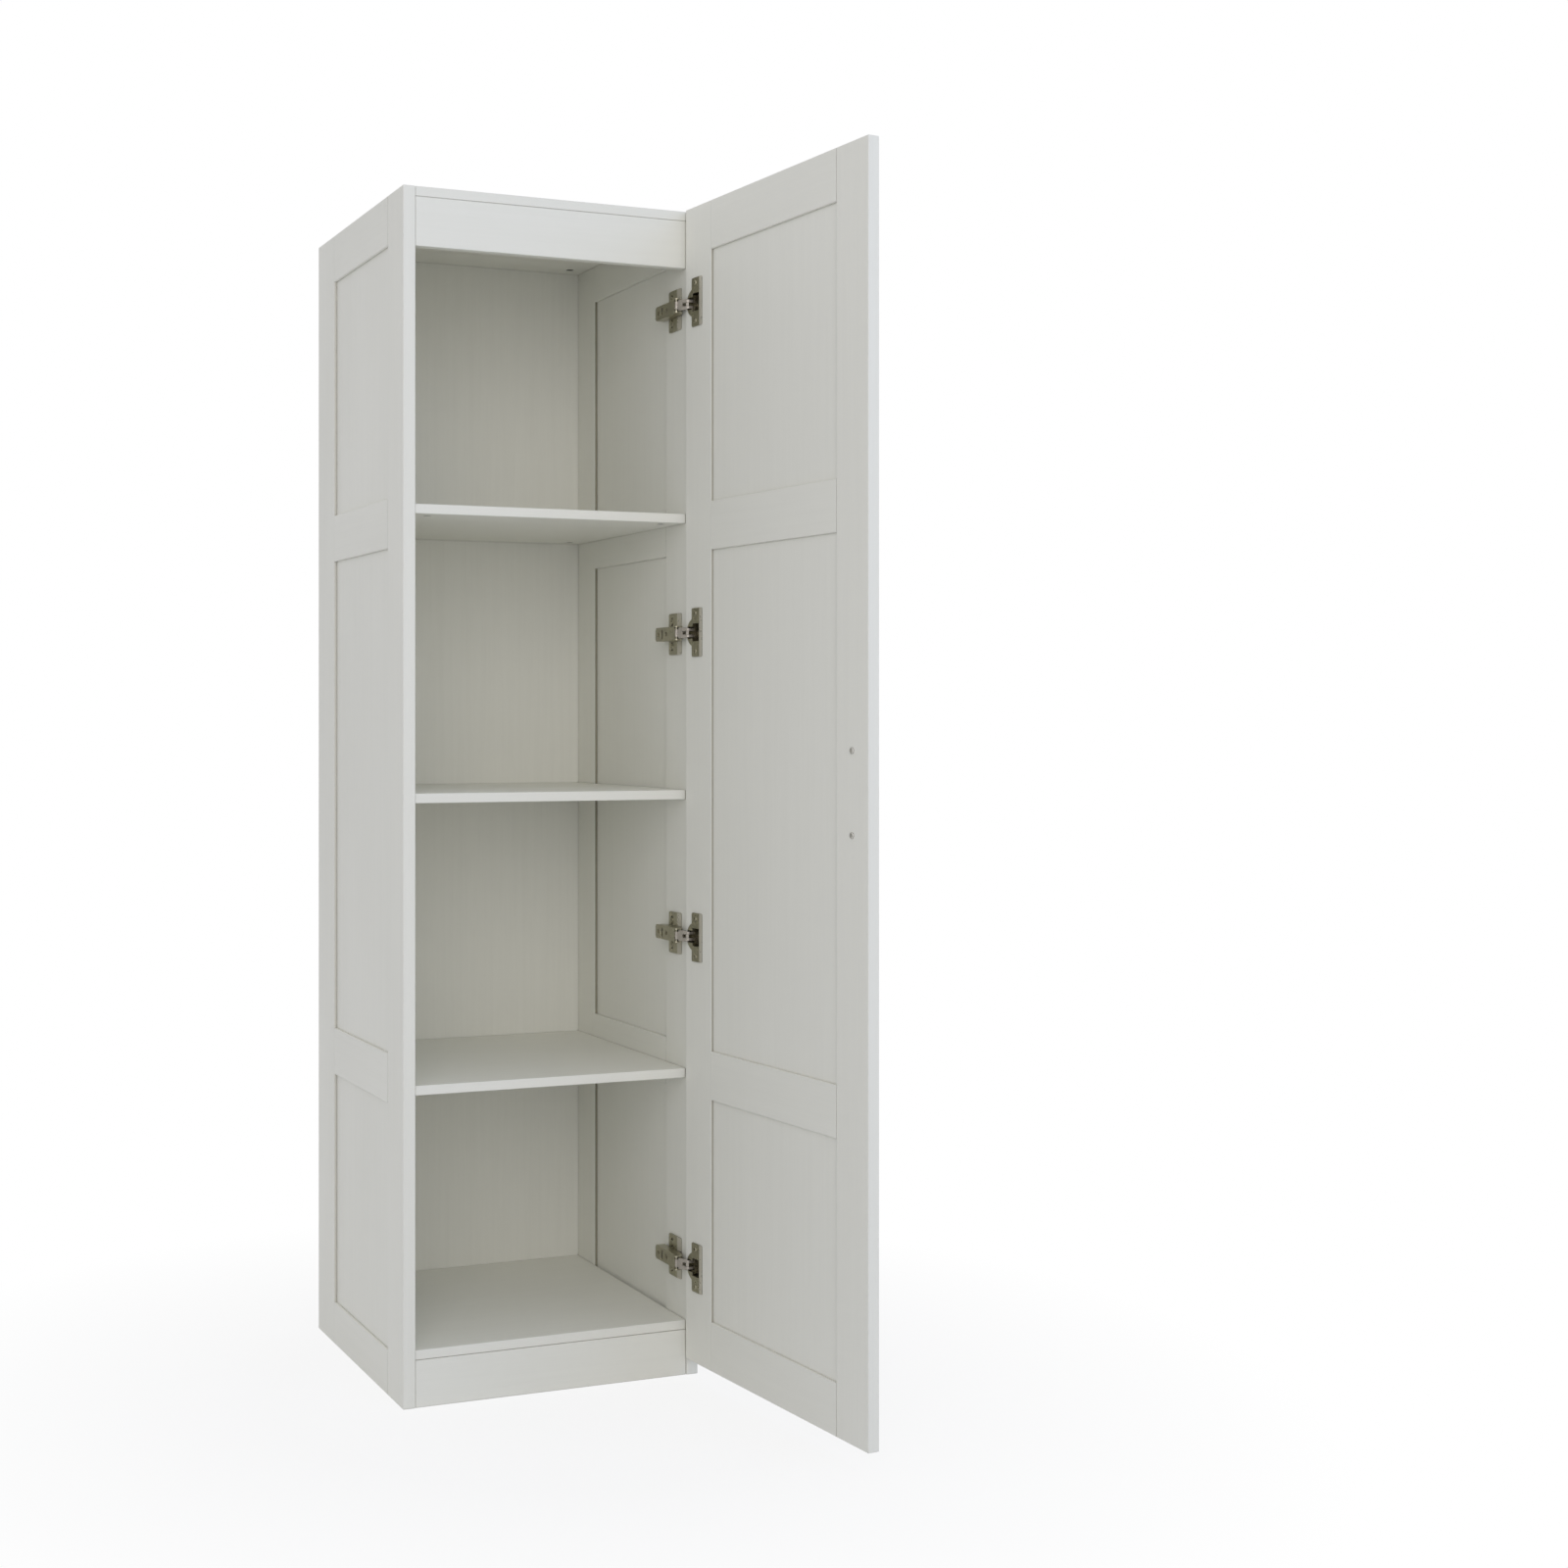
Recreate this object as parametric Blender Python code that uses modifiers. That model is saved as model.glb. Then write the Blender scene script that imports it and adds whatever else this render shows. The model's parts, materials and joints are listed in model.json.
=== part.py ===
"""Tall storage cabinet with framed sides and one framed door on four cup hinges, held open.

Run it with blender --background --python part.py, or from the text editor. Lengths are metres, +Z is
up, the front faces -Y and the floor is z = 0. The origin is the middle of the kickboard's underside.
"""

import math

import bmesh
import bpy
from mathutils import Matrix, Vector

# The gap left between pieces that touch, and the rounding of board edges.
FIT = 0.0003
EASE = 0.0006

# The whole cabinet.
WIDTH = 0.400
DEPTH = 0.376
HEIGHT = 1.500
OPEN_ANGLE = math.radians(95)

# Boards between the two sides.
BOARD_THICK = 0.012
KICK_HIGH = 0.058
KICK_SETBACK = 0.001
HEADER_HIGH = 0.061
HEADER_SETBACK = 0.0008
SHELF_SETBACK = 0.002
SHELF_TOP_SHARES = (0.2634, 0.5027, 0.7402)
BACK_THICK = 0.005
BACK_INSET = 0.012
BACK_LET_IN = 0.006

# Cam fittings under the top, the shelves and the bottom.
CAM_ACROSS = 0.012
CAM_DEEP = 0.008
CAM_FROM_END = 0.024
CAM_FROM_EDGE = 0.026

# Framed sides and door.
SIDE_THICK = 0.016
SIDE_RECESS = 0.004
FRONT_STILE = 0.062
BACK_STILE = 0.077
SIDE_RAIL_HIGH = 0.062
FOOT_RAIL_HIGH = 0.0555
DOOR_THICK = 0.015
DOOR_RECESS = 0.0035
DOOR_STILE = 0.062
DOOR_RAIL_HIGH = 0.0615
DOOR_REVEAL = 0.001
DOOR_GAP = 0.002
DOOR_BOTTOM = 0.024
DOOR_TOP_GAP = 0.0005
GROOVE_DEEP = 0.008
UPPER_RAIL_SHARE = 0.7267
LOWER_RAIL_SHARE = 0.2640

# Hinge sheet steel, and where the hinges sit on the door.
STEEL = 0.0014
HINGE_FROM_END = 0.122
HINGE_SPREAD = 0.389

# The hinge's pivots: on the arm, out from the side's inner face and forward of its front edge; in the
# cup, back from the cup's centre towards the door's edge and down from the door's inner face.
OUTER_PIVOT_OUT = 0.0151
OUTER_PIVOT_FORE = 0.0016
INNER_PIVOT_OUT = 0.0082
INNER_PIVOT_FORE = -0.0010
CUP_PIVOT_BACK = 0.0141
CUP_PIVOT_DEEP = 0.0074
# How far each link turns for each turn of the door.
OUTER_TURN_SHARE = -0.170
INNER_TURN_SHARE = -0.496
PIN_ACROSS = 0.0020
CUP_PIN_ACROSS = 0.0010
PIN_PLAY = 0.0003
RIVET_ACROSS = 0.0038
RIVET_PROUD = 0.0005

# Cup, its flange and the screws of cup and plate.
CUP_ACROSS = 0.035
CUP_DEEP = 0.0129
CUP_WALL = 0.0005
CUP_FLOOR = 0.0007
CUP_FROM_EDGE = 0.0225
HOLLOW_TALL = 0.025
HOLLOW_FORE = 0.0128
COVER_DEEP = 0.0008
MOUTH_TALL = 0.0228
MOUTH_BACK = 0.004
MOUTH_FORE = 0.012
MOUTH_SLOT_TALL = 0.0153
RIM_THICK = 0.0008
RIM_ACROSS = 0.037
FLANGE_THICK = 0.0012
FLANGE_WIDE = 0.024
FLANGE_TALL = 0.062
FLANGE_ROUND = 0.002
FLANGE_FROM_EDGE = 0.029
FLANGE_SLOPE_WIDE = 0.0055
FLANGE_SLOPE_DROP = 0.0009
FLANGE_SCREW_FROM_EDGE = 0.0255
FLANGE_SCREW_SPREAD = 0.048
SCREW_HEAD_ACROSS = 0.0072
SCREW_HEAD_HIGH = 0.0009
SCREW_ACROSS = 0.0034
SCREW_LONG = 0.0115
RECESS_LONG = 0.0040
RECESS_WIDE = 0.0009
RECESS_DEEP = 0.0006

# Arm and mounting plate.
ARM_REAR = 0.0674
ARM_TAIL = 0.0058
ARM_CORNER_LONG = 0.0054
ARM_CORNER_TALL = 0.0068
ARM_HIGH = 0.014
ARM_TALL = 0.018
ARM_NOSE = 0.0026
ARM_OPEN_FROM = 0.004
ARM_NOTCH_BACK = 0.0064
ARM_NOTCH_SPAN = (0.0044, 0.0069)
ARM_SCREW_BACKS = (0.0550, 0.0310)
ARM_SCREW_ACROSS = 0.0048
ARM_SCREW_PLAY = 0.0005
ARM_SCREW_SUNK = 0.0008
ARM_SLOT_BACK = 0.0440
ARM_SLOT_WIDE = 0.0030
ARM_SLOT_TALL = 0.0115
PLATE_THICK = 0.0018
PLATE_FORE = 0.0135
PLATE_BACK = 0.0485
PLATE_TALL = 0.0535
PLATE_ROUND = 0.0025
PLATE_SLOPE_WIDE = 0.0100
PLATE_SLOPE_DROP = 0.0014
PLATE_SCREW_BACK = 0.0385
PLATE_SCREW_SPREAD = 0.032
PLATE_SLOT_TALL = 0.0115
PLATE_SLOT_WIDE = 0.0046
SPINE_HIGH = 0.0048
SPINE_FORE = 0.012
SPINE_BACK = 0.0605

# Links. A bend table gives points along the link and off its line, as shares of the link's length.
OUTER_BARREL_ACROSS = 0.0042
OUTER_EYE_ACROSS = 0.0024
OUTER_TALL = 0.0137
OUTER_BARREL_TALL = 0.0096
OUTER_SLOT_TALL = 0.0046
OUTER_EYE_OUT = 0.0058
OUTER_BEND_SHARES = ((0.363, -0.151), (0.644, -0.2662), (0.7455, -0.2666), (0.957, -0.163))
INNER_BARREL_ACROSS = 0.0038
INNER_TIP_ACROSS = 0.0018
INNER_BARREL_TALL = 0.0096
INNER_TALL = 0.0040
INNER_LONG = 0.01748
INNER_HEADING = math.radians(147.9)
INNER_BEND_SHARES = ((0.519, -0.052), (0.690, -0.087), (0.896, -0.092))

# Handle, and the screws that hold it through the door.
HANDLE_LONG = 0.136
HANDLE_HIGH = 0.021
HANDLE_WIDE = 0.0128
HANDLE_SCREW_SPREAD = 0.096
HANDLE_SCREW_ACROSS = 0.0040
HANDLE_SCREW_BITE = 0.0060
HANDLE_SCREW_HEAD_ACROSS = 0.0075
HANDLE_SCREW_HEAD_HIGH = 0.0014
# Along half the handle from its middle, its underside, its top and its width.
HANDLE_SHARES = (
    (0.00, 0.715, 1.000, 0.594),
    (0.18, 0.700, 0.990, 0.610),
    (0.33, 0.640, 0.955, 0.665),
    (0.43, 0.530, 0.880, 0.740),
    (0.50, 0.370, 0.770, 0.805),
    (0.56, 0.170, 0.640, 0.865),
    (0.62, 0.000, 0.500, 0.920),
    (0.70, 0.000, 0.385, 0.965),
    (0.80, 0.000, 0.290, 1.000),
    (0.90, 0.000, 0.225, 0.985),
    (0.96, 0.000, 0.165, 0.880),
    (1.00, 0.000, 0.080, 0.620),
)

# How many flats a round shape is made with, and how square the handle's section is.
CUP_FACETS = 36
BORE_FACETS = 20
SCREW_FACETS = 12
PIN_FACETS = 12
HANDLE_FACETS = 14
SECTION_POWER = 0.62

# Derived positions.
FRONT_Y = -(KICK_SETBACK + BOARD_THICK / 2)
INNER_HALF = WIDTH / 2 - SIDE_THICK
BACK_AT = DEPTH - BACK_INSET - BACK_THICK
DOOR_WIDE = WIDTH - 2 * DOOR_REVEAL
DOOR_TOP = HEIGHT - DOOR_TOP_GAP
DOOR_MIDDLE = (DOOR_BOTTOM + DOOR_TOP) / 2
OVERLAY = SIDE_THICK - DOOR_REVEAL
HINGE_HEIGHTS = (
    DOOR_BOTTOM + HINGE_FROM_END,
    DOOR_MIDDLE - HINGE_SPREAD / 2,
    DOOR_MIDDLE + HINGE_SPREAD / 2,
    DOOR_TOP - HINGE_FROM_END,
)
CHEEK_INNER = ARM_TALL / 2 - STEEL
WEB_UNDER = ARM_HIGH - STEEL
# The cup's pivot, seen from the door's hinge edge and inner face.
PIVOT_ACROSS = CUP_FROM_EDGE - CUP_PIVOT_BACK
OUTER_PIVOT = Vector((OUTER_PIVOT_OUT, OUTER_PIVOT_FORE))
INNER_PIVOT = Vector((INNER_PIVOT_OUT, INNER_PIVOT_FORE))
CUP_PIVOT_SHUT = Vector((PIVOT_ACROSS - OVERLAY, DOOR_GAP + CUP_PIVOT_DEEP))

# Colour, metallic value and roughness of each finish.
FINISHES = {
    "paint": ((0.80, 0.80, 0.78), 0.0, 0.48),
    "back": ((0.76, 0.76, 0.73), 0.0, 0.55),
    "nickel": ((0.42, 0.38, 0.33), 1.0, 0.32),
    "link": ((0.60, 0.57, 0.53), 1.0, 0.28),
    "black": ((0.012, 0.012, 0.013), 0.6, 0.42),
    "screw": ((0.55, 0.54, 0.52), 1.0, 0.35),
}


def clear_scene():
    for obj in list(bpy.data.objects):
        bpy.data.objects.remove(obj, do_unlink=True)
    for group in list(bpy.data.collections):
        bpy.data.collections.remove(group)


def new_collection(name, hidden=False):
    group = bpy.data.collections.new(name)
    group.hide_render = hidden
    bpy.context.scene.collection.children.link(group)
    return group


def axis_empty(name, at, turn=0.0, parent=None):
    """An empty that pieces hang from, turned about +Z."""
    empty = bpy.data.objects.new(name, None)
    empty.empty_display_size = ARM_REAR
    empty.location = at
    empty.rotation_euler.z = turn
    empty.parent = parent
    PARTS.objects.link(empty)
    return empty


def wrap(name, shape, at, parent):
    """A new object round a closed bmesh, first kept with the cutters."""
    bmesh.ops.recalc_face_normals(shape, faces=shape.faces)
    mesh = bpy.data.meshes.new(name)
    shape.to_mesh(mesh)
    shape.free()
    obj = bpy.data.objects.new(name, mesh)
    obj.location = at
    obj.parent = parent
    obj.display_type = "WIRE"
    CUTTERS.objects.link(obj)
    return obj


def finish(obj, kind):
    """Makes the object a sub-part with its own material."""
    CUTTERS.objects.unlink(obj)
    PARTS.objects.link(obj)
    obj.display_type = "TEXTURED"
    colour, metallic, roughness = FINISHES[kind]
    material = bpy.data.materials.new(obj.name)
    material.use_nodes = True
    shader = material.node_tree.nodes["Principled BSDF"]
    shader.inputs["Base Color"].default_value = (*colour, 1.0)
    shader.inputs["Metallic"].default_value = metallic
    shader.inputs["Roughness"].default_value = roughness
    material.diffuse_color = (*colour, 1.0)
    obj.data.materials.append(material)
    return obj


def combine(obj, other, operation):
    change = obj.modifiers.new(other.name, "BOOLEAN")
    change.operation = operation
    change.solver = "EXACT"
    change.object = other
    other.hide_render = True


def cut(obj, *cutters):
    for cutter in cutters:
        combine(obj, cutter, "DIFFERENCE")


def weld_on(obj, *additions):
    for addition in additions:
        combine(obj, addition, "UNION")


def box(name, low, high, parent, ease=0.0):
    """A box between two corners, its origin in its middle, with eased edges."""
    low = Vector(low)
    high = Vector(high)
    shape = bmesh.new()
    bmesh.ops.create_cube(shape, size=1.0, matrix=Matrix.Diagonal((*(high - low), 1.0)))
    obj = wrap(name, shape, (low + high) / 2, parent)
    if ease:
        bevel = obj.modifiers.new("eased edges", "BEVEL")
        bevel.width = ease
        bevel.segments = 1
        bevel.limit_method = "ANGLE"
    return obj


def boxes(name, corners, parent):
    """Separate boxes in one mesh, for a cutter."""
    shape = bmesh.new()
    for low, high in corners:
        low = Vector(low)
        high = Vector(high)
        place = Matrix.Translation((low + high) / 2) @ Matrix.Diagonal((*(high - low), 1.0))
        bmesh.ops.create_cube(shape, size=1.0, matrix=place)
    return wrap(name, shape, (0, 0, 0), parent)


def along_axis(axis, position, first, second):
    """A point from its position on an axis and its two other coordinates in x, y, z order."""
    if axis == "x":
        return (position, first, second)
    if axis == "y":
        return (first, position, second)
    return (first, second, position)


def prism(name, outline, low, high, parent, axis="z", places=((0, 0, 0),)):
    """A closed outline drawn out along an axis, with its origin at the first place and a copy at each."""
    shape = bmesh.new()
    first = Vector(places[0])
    count = len(outline)
    for place in places:
        shift = Vector(place) - first
        ends = [
            [shape.verts.new(shift + Vector(along_axis(axis, level, *point))) for point in outline]
            for level in (low, high)
        ]
        shape.faces.new(ends[0])
        shape.faces.new(reversed(ends[1]))
        for i in range(count):
            j = (i + 1) % count
            shape.faces.new((ends[0][i], ends[0][j], ends[1][j], ends[1][i]))
    return wrap(name, shape, first, parent)


def slope(name, crest, foot, rise, half, parent):
    """A wedge drawn out along z, for cutting down to the line from a crest to a foot and past it."""
    past = [2 * b - a for a, b in zip(crest, foot)]
    raised = [[a + b for a, b in zip(point, rise)] for point in (past, crest)]
    return prism(name, [crest, past, *raised], -half, half, parent)


def turned(name, profile, parent, axis, facets, places=((0, 0, 0),)):
    """A turned solid from (position along the axis, radius) steps, with a copy at each place."""
    shape = bmesh.new()
    first = Vector(places[0])
    angles = [2 * math.pi * (i + 1 / 2) / facets for i in range(facets)]
    for place in places:
        shift = Vector(place) - first
        rings = []
        for position, radius in profile:
            points = [(radius * math.cos(a), radius * math.sin(a)) for a in angles]
            rings.append([shape.verts.new(shift + Vector(along_axis(axis, position, *p))) for p in points])
        shape.faces.new(rings[0])
        shape.faces.new(reversed(rings[-1]))
        for k, (one, two) in enumerate(zip(rings, rings[1:])):
            step = abs(profile[k + 1][0] - profile[k][0])
            for i in range(facets):
                j = (i + 1) % facets
                side = shape.faces.new((one[i], one[j], two[j], two[i]))
                side.smooth = step > 0
    return wrap(name, shape, first, parent)


def rounded_outline(low, high, radius, steps=4):
    """A rectangle between two corners with round corners, as a closed outline."""
    outline = []
    centres = (
        (high[0] - radius, high[1] - radius),
        (low[0] + radius, high[1] - radius),
        (low[0] + radius, low[1] + radius),
        (high[0] - radius, low[1] + radius),
    )
    for quarter, (x, y) in enumerate(centres):
        for i in range(steps + 1):
            angle = math.pi / 2 * (quarter + i / steps)
            outline.append((x + radius * math.cos(angle), y + radius * math.sin(angle)))
    return outline


def ribbon(points, half):
    """The outline of a strip with mitred bends along a line of points."""
    sides = [(b - a).normalized().orthogonal() for a, b in zip(points, points[1:])]
    left = []
    right = []
    for i, point in enumerate(points):
        before = sides[max(i - 1, 0)]
        after = sides[min(i, len(sides) - 1)]
        mitre = (before + after).normalized()
        offset = mitre * (half / mitre.dot(after))
        left.append(point + offset)
        right.append(point - offset)
    return left + right[::-1]


def bent_line(start, end, bend_shares):
    """Points from start to end, each bend given along the line and off it."""
    line = end - start
    off = line.orthogonal()
    return [start, *(start + line * a + off * b for a, b in bend_shares), end]


def turn_point(point, about, angle):
    return about + Matrix.Rotation(angle, 2) @ (point - about)


def arc(centre, radius, start, end, steps=5):
    """Points round part of a circle, from one angle to another in degrees."""
    angles = [math.radians(start + (end - start) * i / steps) for i in range(steps + 1)]
    return [(centre[0] + radius * math.cos(a), centre[1] + radius * math.sin(a)) for a in angles]


def cross_outline(long, wide):
    """A plus sign, for a screwdriver's recess."""
    a = long / 2
    b = wide / 2
    quarter = ((a, -b), (a, b), (b, b))
    return [(x * c - y * d, x * d + y * c) for c, d in ((1, 0), (0, 1), (-1, 0), (0, -1)) for x, y in quarter]


def framed_leaf(prefix, parent, corner, across, low, high, thick, recess, stiles, rails):
    """Two stiles and four rails tongued together, with three panels in their grooves."""
    x0, y0 = corner
    edges = (x0 + stiles[0][1], x0 + across - stiles[1][1])
    tongues = (edges[0] - GROOVE_DEEP + FIT, edges[1] + GROOVE_DEEP - FIT)
    face, back = y0, y0 + thick
    panel = (y0 + recess, y0 + thick - recess)
    groove = (panel[0] - FIT, panel[1] + FIT)
    pieces = {}

    for (name, wide), start, way in zip(stiles, (x0, edges[1]), (1, -1)):
        stile = box(f"{prefix}_{name}", (start, face, low), (start + wide, back, high), parent, EASE)
        inner = start + wide if way > 0 else start
        ends = sorted((inner - way * GROOVE_DEEP, inner + way * EASE))
        sides = ((ends[0], groove[0], low - EASE), (ends[1], groove[1], high + EASE))
        cut(stile, box(f"{prefix}_{name}_groove", *sides, parent))
        pieces[name] = finish(stile, "paint")

    for number, (name, bottom, top) in enumerate(rails):
        ends = ((tongues[0], face, bottom), (tongues[1], back, top))
        rail = box(f"{prefix}_{name}", *ends, parent, EASE)
        shoulders = []
        for outer, inner in ((tongues[0] - EASE, edges[0] + FIT), (edges[1] - FIT, tongues[1] + EASE)):
            shoulders.append(((outer, face - EASE, bottom - EASE), (inner, panel[0], top + EASE)))
            shoulders.append(((outer, panel[1], bottom - EASE), (inner, back + EASE, top + EASE)))
        cut(rail, boxes(f"{prefix}_{name}_shoulders", shoulders, parent))
        runs = (tongues[0] - EASE, tongues[1] + EASE)
        grooves = []
        if number > 0:
            grooves.append(((runs[0], groove[0], bottom - EASE), (runs[1], groove[1], bottom + GROOVE_DEEP)))
        if number < len(rails) - 1:
            grooves.append(((runs[0], groove[0], top - GROOVE_DEEP), (runs[1], groove[1], top + EASE)))
        cut(rail, boxes(f"{prefix}_{name}_grooves", grooves, parent))
        pieces[name] = finish(rail, "paint")

    for name, under, over in zip(("bottom_panel", "middle_panel", "top_panel"), rails, rails[1:]):
        bottom = under[2] - GROOVE_DEEP + FIT
        top = over[1] + GROOVE_DEEP - FIT
        board = box(f"{prefix}_{name}", (tongues[0], panel[0], bottom), (tongues[1], panel[1], top), parent)
        pieces[name] = finish(board, "paint")
    return pieces


def rail_heights(low, high, foot_high, rail_high):
    """Each rail's name, bottom and top; the two between stand level on the sides and the door."""
    upper = UPPER_RAIL_SHARE * HEIGHT
    lower = LOWER_RAIL_SHARE * HEIGHT
    return (
        ("bottom_rail", low, low + foot_high),
        ("lower_rail", lower - rail_high / 2, lower + rail_high / 2),
        ("upper_rail", upper - rail_high / 2, upper + rail_high / 2),
        ("top_rail", high - rail_high, high),
    )


def build_side(prefix, outer_x):
    place = axis_empty(f"{prefix}_place", (outer_x, FRONT_Y, 0), math.pi / 2)
    rails = rail_heights(0, HEIGHT, FOOT_RAIL_HIGH, SIDE_RAIL_HIGH)
    stiles = (("front_stile", FRONT_STILE), ("back_stile", BACK_STILE))
    return framed_leaf(prefix, place, (0, 0), DEPTH, 0, HEIGHT, SIDE_THICK, SIDE_RECESS, stiles, rails)


def build_carcass():
    """The boards between the sides, in a frame whose y runs back from the sides' front edges."""
    place = axis_empty("carcass_place", (0, FRONT_Y, 0))
    sides = [build_side("left_side", SIDE_THICK - WIDTH / 2), build_side("right_side", WIDTH / 2)]
    half = INNER_HALF - FIT
    top_low = HEIGHT - BOARD_THICK
    bottom_low = KICK_HIGH + FIT
    bottom_top = bottom_low + BOARD_THICK

    def board(name, front, back, low, thick=BOARD_THICK):
        return box(name, (-half, front, low), (half, back, low + thick), place, EASE)

    top = board("top_board", HEADER_SETBACK, DEPTH, top_low)
    bottom = board("bottom_board", SHELF_SETBACK, DEPTH, bottom_low)
    header_low = top_low - FIT - HEADER_HIGH
    header = board("header_board", HEADER_SETBACK, HEADER_SETBACK + BOARD_THICK, header_low, HEADER_HIGH)
    kick = board("kickboard", KICK_SETBACK, KICK_SETBACK + BOARD_THICK, 0, KICK_HIGH)
    finish(header, "paint")
    finish(kick, "paint")
    drilled = [(top, top_low), (bottom, bottom_low)]
    for name, share in zip(("shelf_low", "shelf_middle", "shelf_high"), SHELF_TOP_SHARES):
        low = share * HEIGHT - BOARD_THICK
        drilled.append((board(name, SHELF_SETBACK, BACK_AT - FIT, low), low))
    cam_x = INNER_HALF - CAM_FROM_END
    cam_rows = (SHELF_SETBACK + CAM_FROM_EDGE, BACK_AT - CAM_FROM_EDGE)
    for piece, low in drilled:
        corners = [(x, y, low) for x in (-cam_x, cam_x) for y in cam_rows]
        profile = ((-EASE, CAM_ACROSS / 2), (CAM_DEEP, CAM_ACROSS / 2))
        cut(piece, turned(f"{piece.name}_cam_bores", profile, place, "z", BORE_FACETS, corners))
        finish(piece, "paint")

    reach = INNER_HALF + BACK_LET_IN
    low, high = bottom_top - BACK_LET_IN, top_low + BACK_LET_IN
    back_face = BACK_AT + BACK_THICK
    back = box("back_panel", (FIT - reach, BACK_AT, low + FIT), (reach - FIT, back_face, high - FIT), place)
    finish(back, "back")
    rebate = box("back_panel_groove", (-reach, BACK_AT - FIT, low), (reach, back_face + FIT, high), place)
    cut(top, rebate)
    cut(bottom, rebate)
    for side in sides:
        cut(side["back_stile"], rebate)
    return sides[1]


def screw(name, parent, axis, seat, way, sunk, places):
    """Screws whose heads rise from the seat against the way they are driven, sunk a little into it."""
    head, shank = SCREW_HEAD_ACROSS / 2, SCREW_ACROSS / 2
    steps = (
        (-SCREW_HEAD_HIGH, head - SCREW_HEAD_HIGH),
        (-SCREW_HEAD_HIGH / 2, head),
        (sunk, head),
        (sunk, shank),
        (SCREW_LONG - shank, shank),
        (SCREW_LONG, shank / 4),
    )
    profile = [(seat + way * at, radius) for at, radius in steps]
    return turned(name, profile, parent, axis, SCREW_FACETS, places)


def recesses(name, parent, axis, top, way, places):
    """Crosses cut into screw heads."""
    low, high = sorted((top - way * RECESS_DEEP, top + way * RECESS_DEEP))
    return prism(name, cross_outline(RECESS_LONG, RECESS_WIDE), low, high, parent, axis, places)


def build_plate(prefix, place, side):
    """The mounting plate: slotted wings that slope down in front, and a spine that the arm straddles."""
    wing_outer = FIT + PLATE_THICK
    outline = rounded_outline((-PLATE_BACK, -PLATE_TALL / 2), (-PLATE_FORE, PLATE_TALL / 2), PLATE_ROUND)
    plate = prism(f"{prefix}_plate", outline, FIT, wing_outer, place, "x")
    crest = (wing_outer, -PLATE_FORE - PLATE_SLOPE_WIDE)
    foot = (wing_outer - PLATE_SLOPE_DROP, -PLATE_FORE)
    cut(plate, slope(f"{prefix}_plate_slope", crest, foot, (PLATE_THICK, 0), PLATE_TALL, place))
    spots = [(0, -PLATE_SCREW_BACK, sign * PLATE_SCREW_SPREAD / 2) for sign in (-1, 1)]
    end = Vector((PLATE_SLOT_WIDE, PLATE_SLOT_TALL)) / 2
    hole = rounded_outline(-end, end, end.x - EASE)
    cut(plate, prism(f"{prefix}_plate_slots", hole, 0, wing_outer + FIT, place, "x", spots))
    wide = CHEEK_INNER - FIT
    weld_on(plate, box(f"{prefix}_spine", (FIT, -SPINE_BACK, -wide), (SPINE_HIGH, -SPINE_FORE, wide), place))
    weld_on(plate, screw(f"{prefix}_plate_screws", place, "x", wing_outer, -1, PLATE_THICK / 2, spots))
    cut(plate, recesses(f"{prefix}_plate_recesses", place, "x", wing_outer + SCREW_HEAD_HIGH, -1, spots))
    radius = ARM_SCREW_ACROSS / 2
    screw_top = ARM_HIGH - ARM_SCREW_SUNK
    posts = [(0, -back, 0) for back in ARM_SCREW_BACKS]
    profile = ((SPINE_HIGH - PLATE_THICK / 2, radius), (screw_top, radius))
    weld_on(plate, turned(f"{prefix}_arm_screws", profile, place, "x", SCREW_FACETS, posts))
    cut(plate, recesses(f"{prefix}_arm_recesses", place, "x", screw_top, -1, posts))
    pilot = ((-SCREW_LONG - FIT, SCREW_ACROSS / 2 + FIT), (EASE, SCREW_ACROSS / 2 + FIT))
    cut(side["front_stile"], turned(f"{prefix}_plate_pilots", pilot, place, "x", SCREW_FACETS, spots))
    return finish(plate, "nickel")


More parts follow.
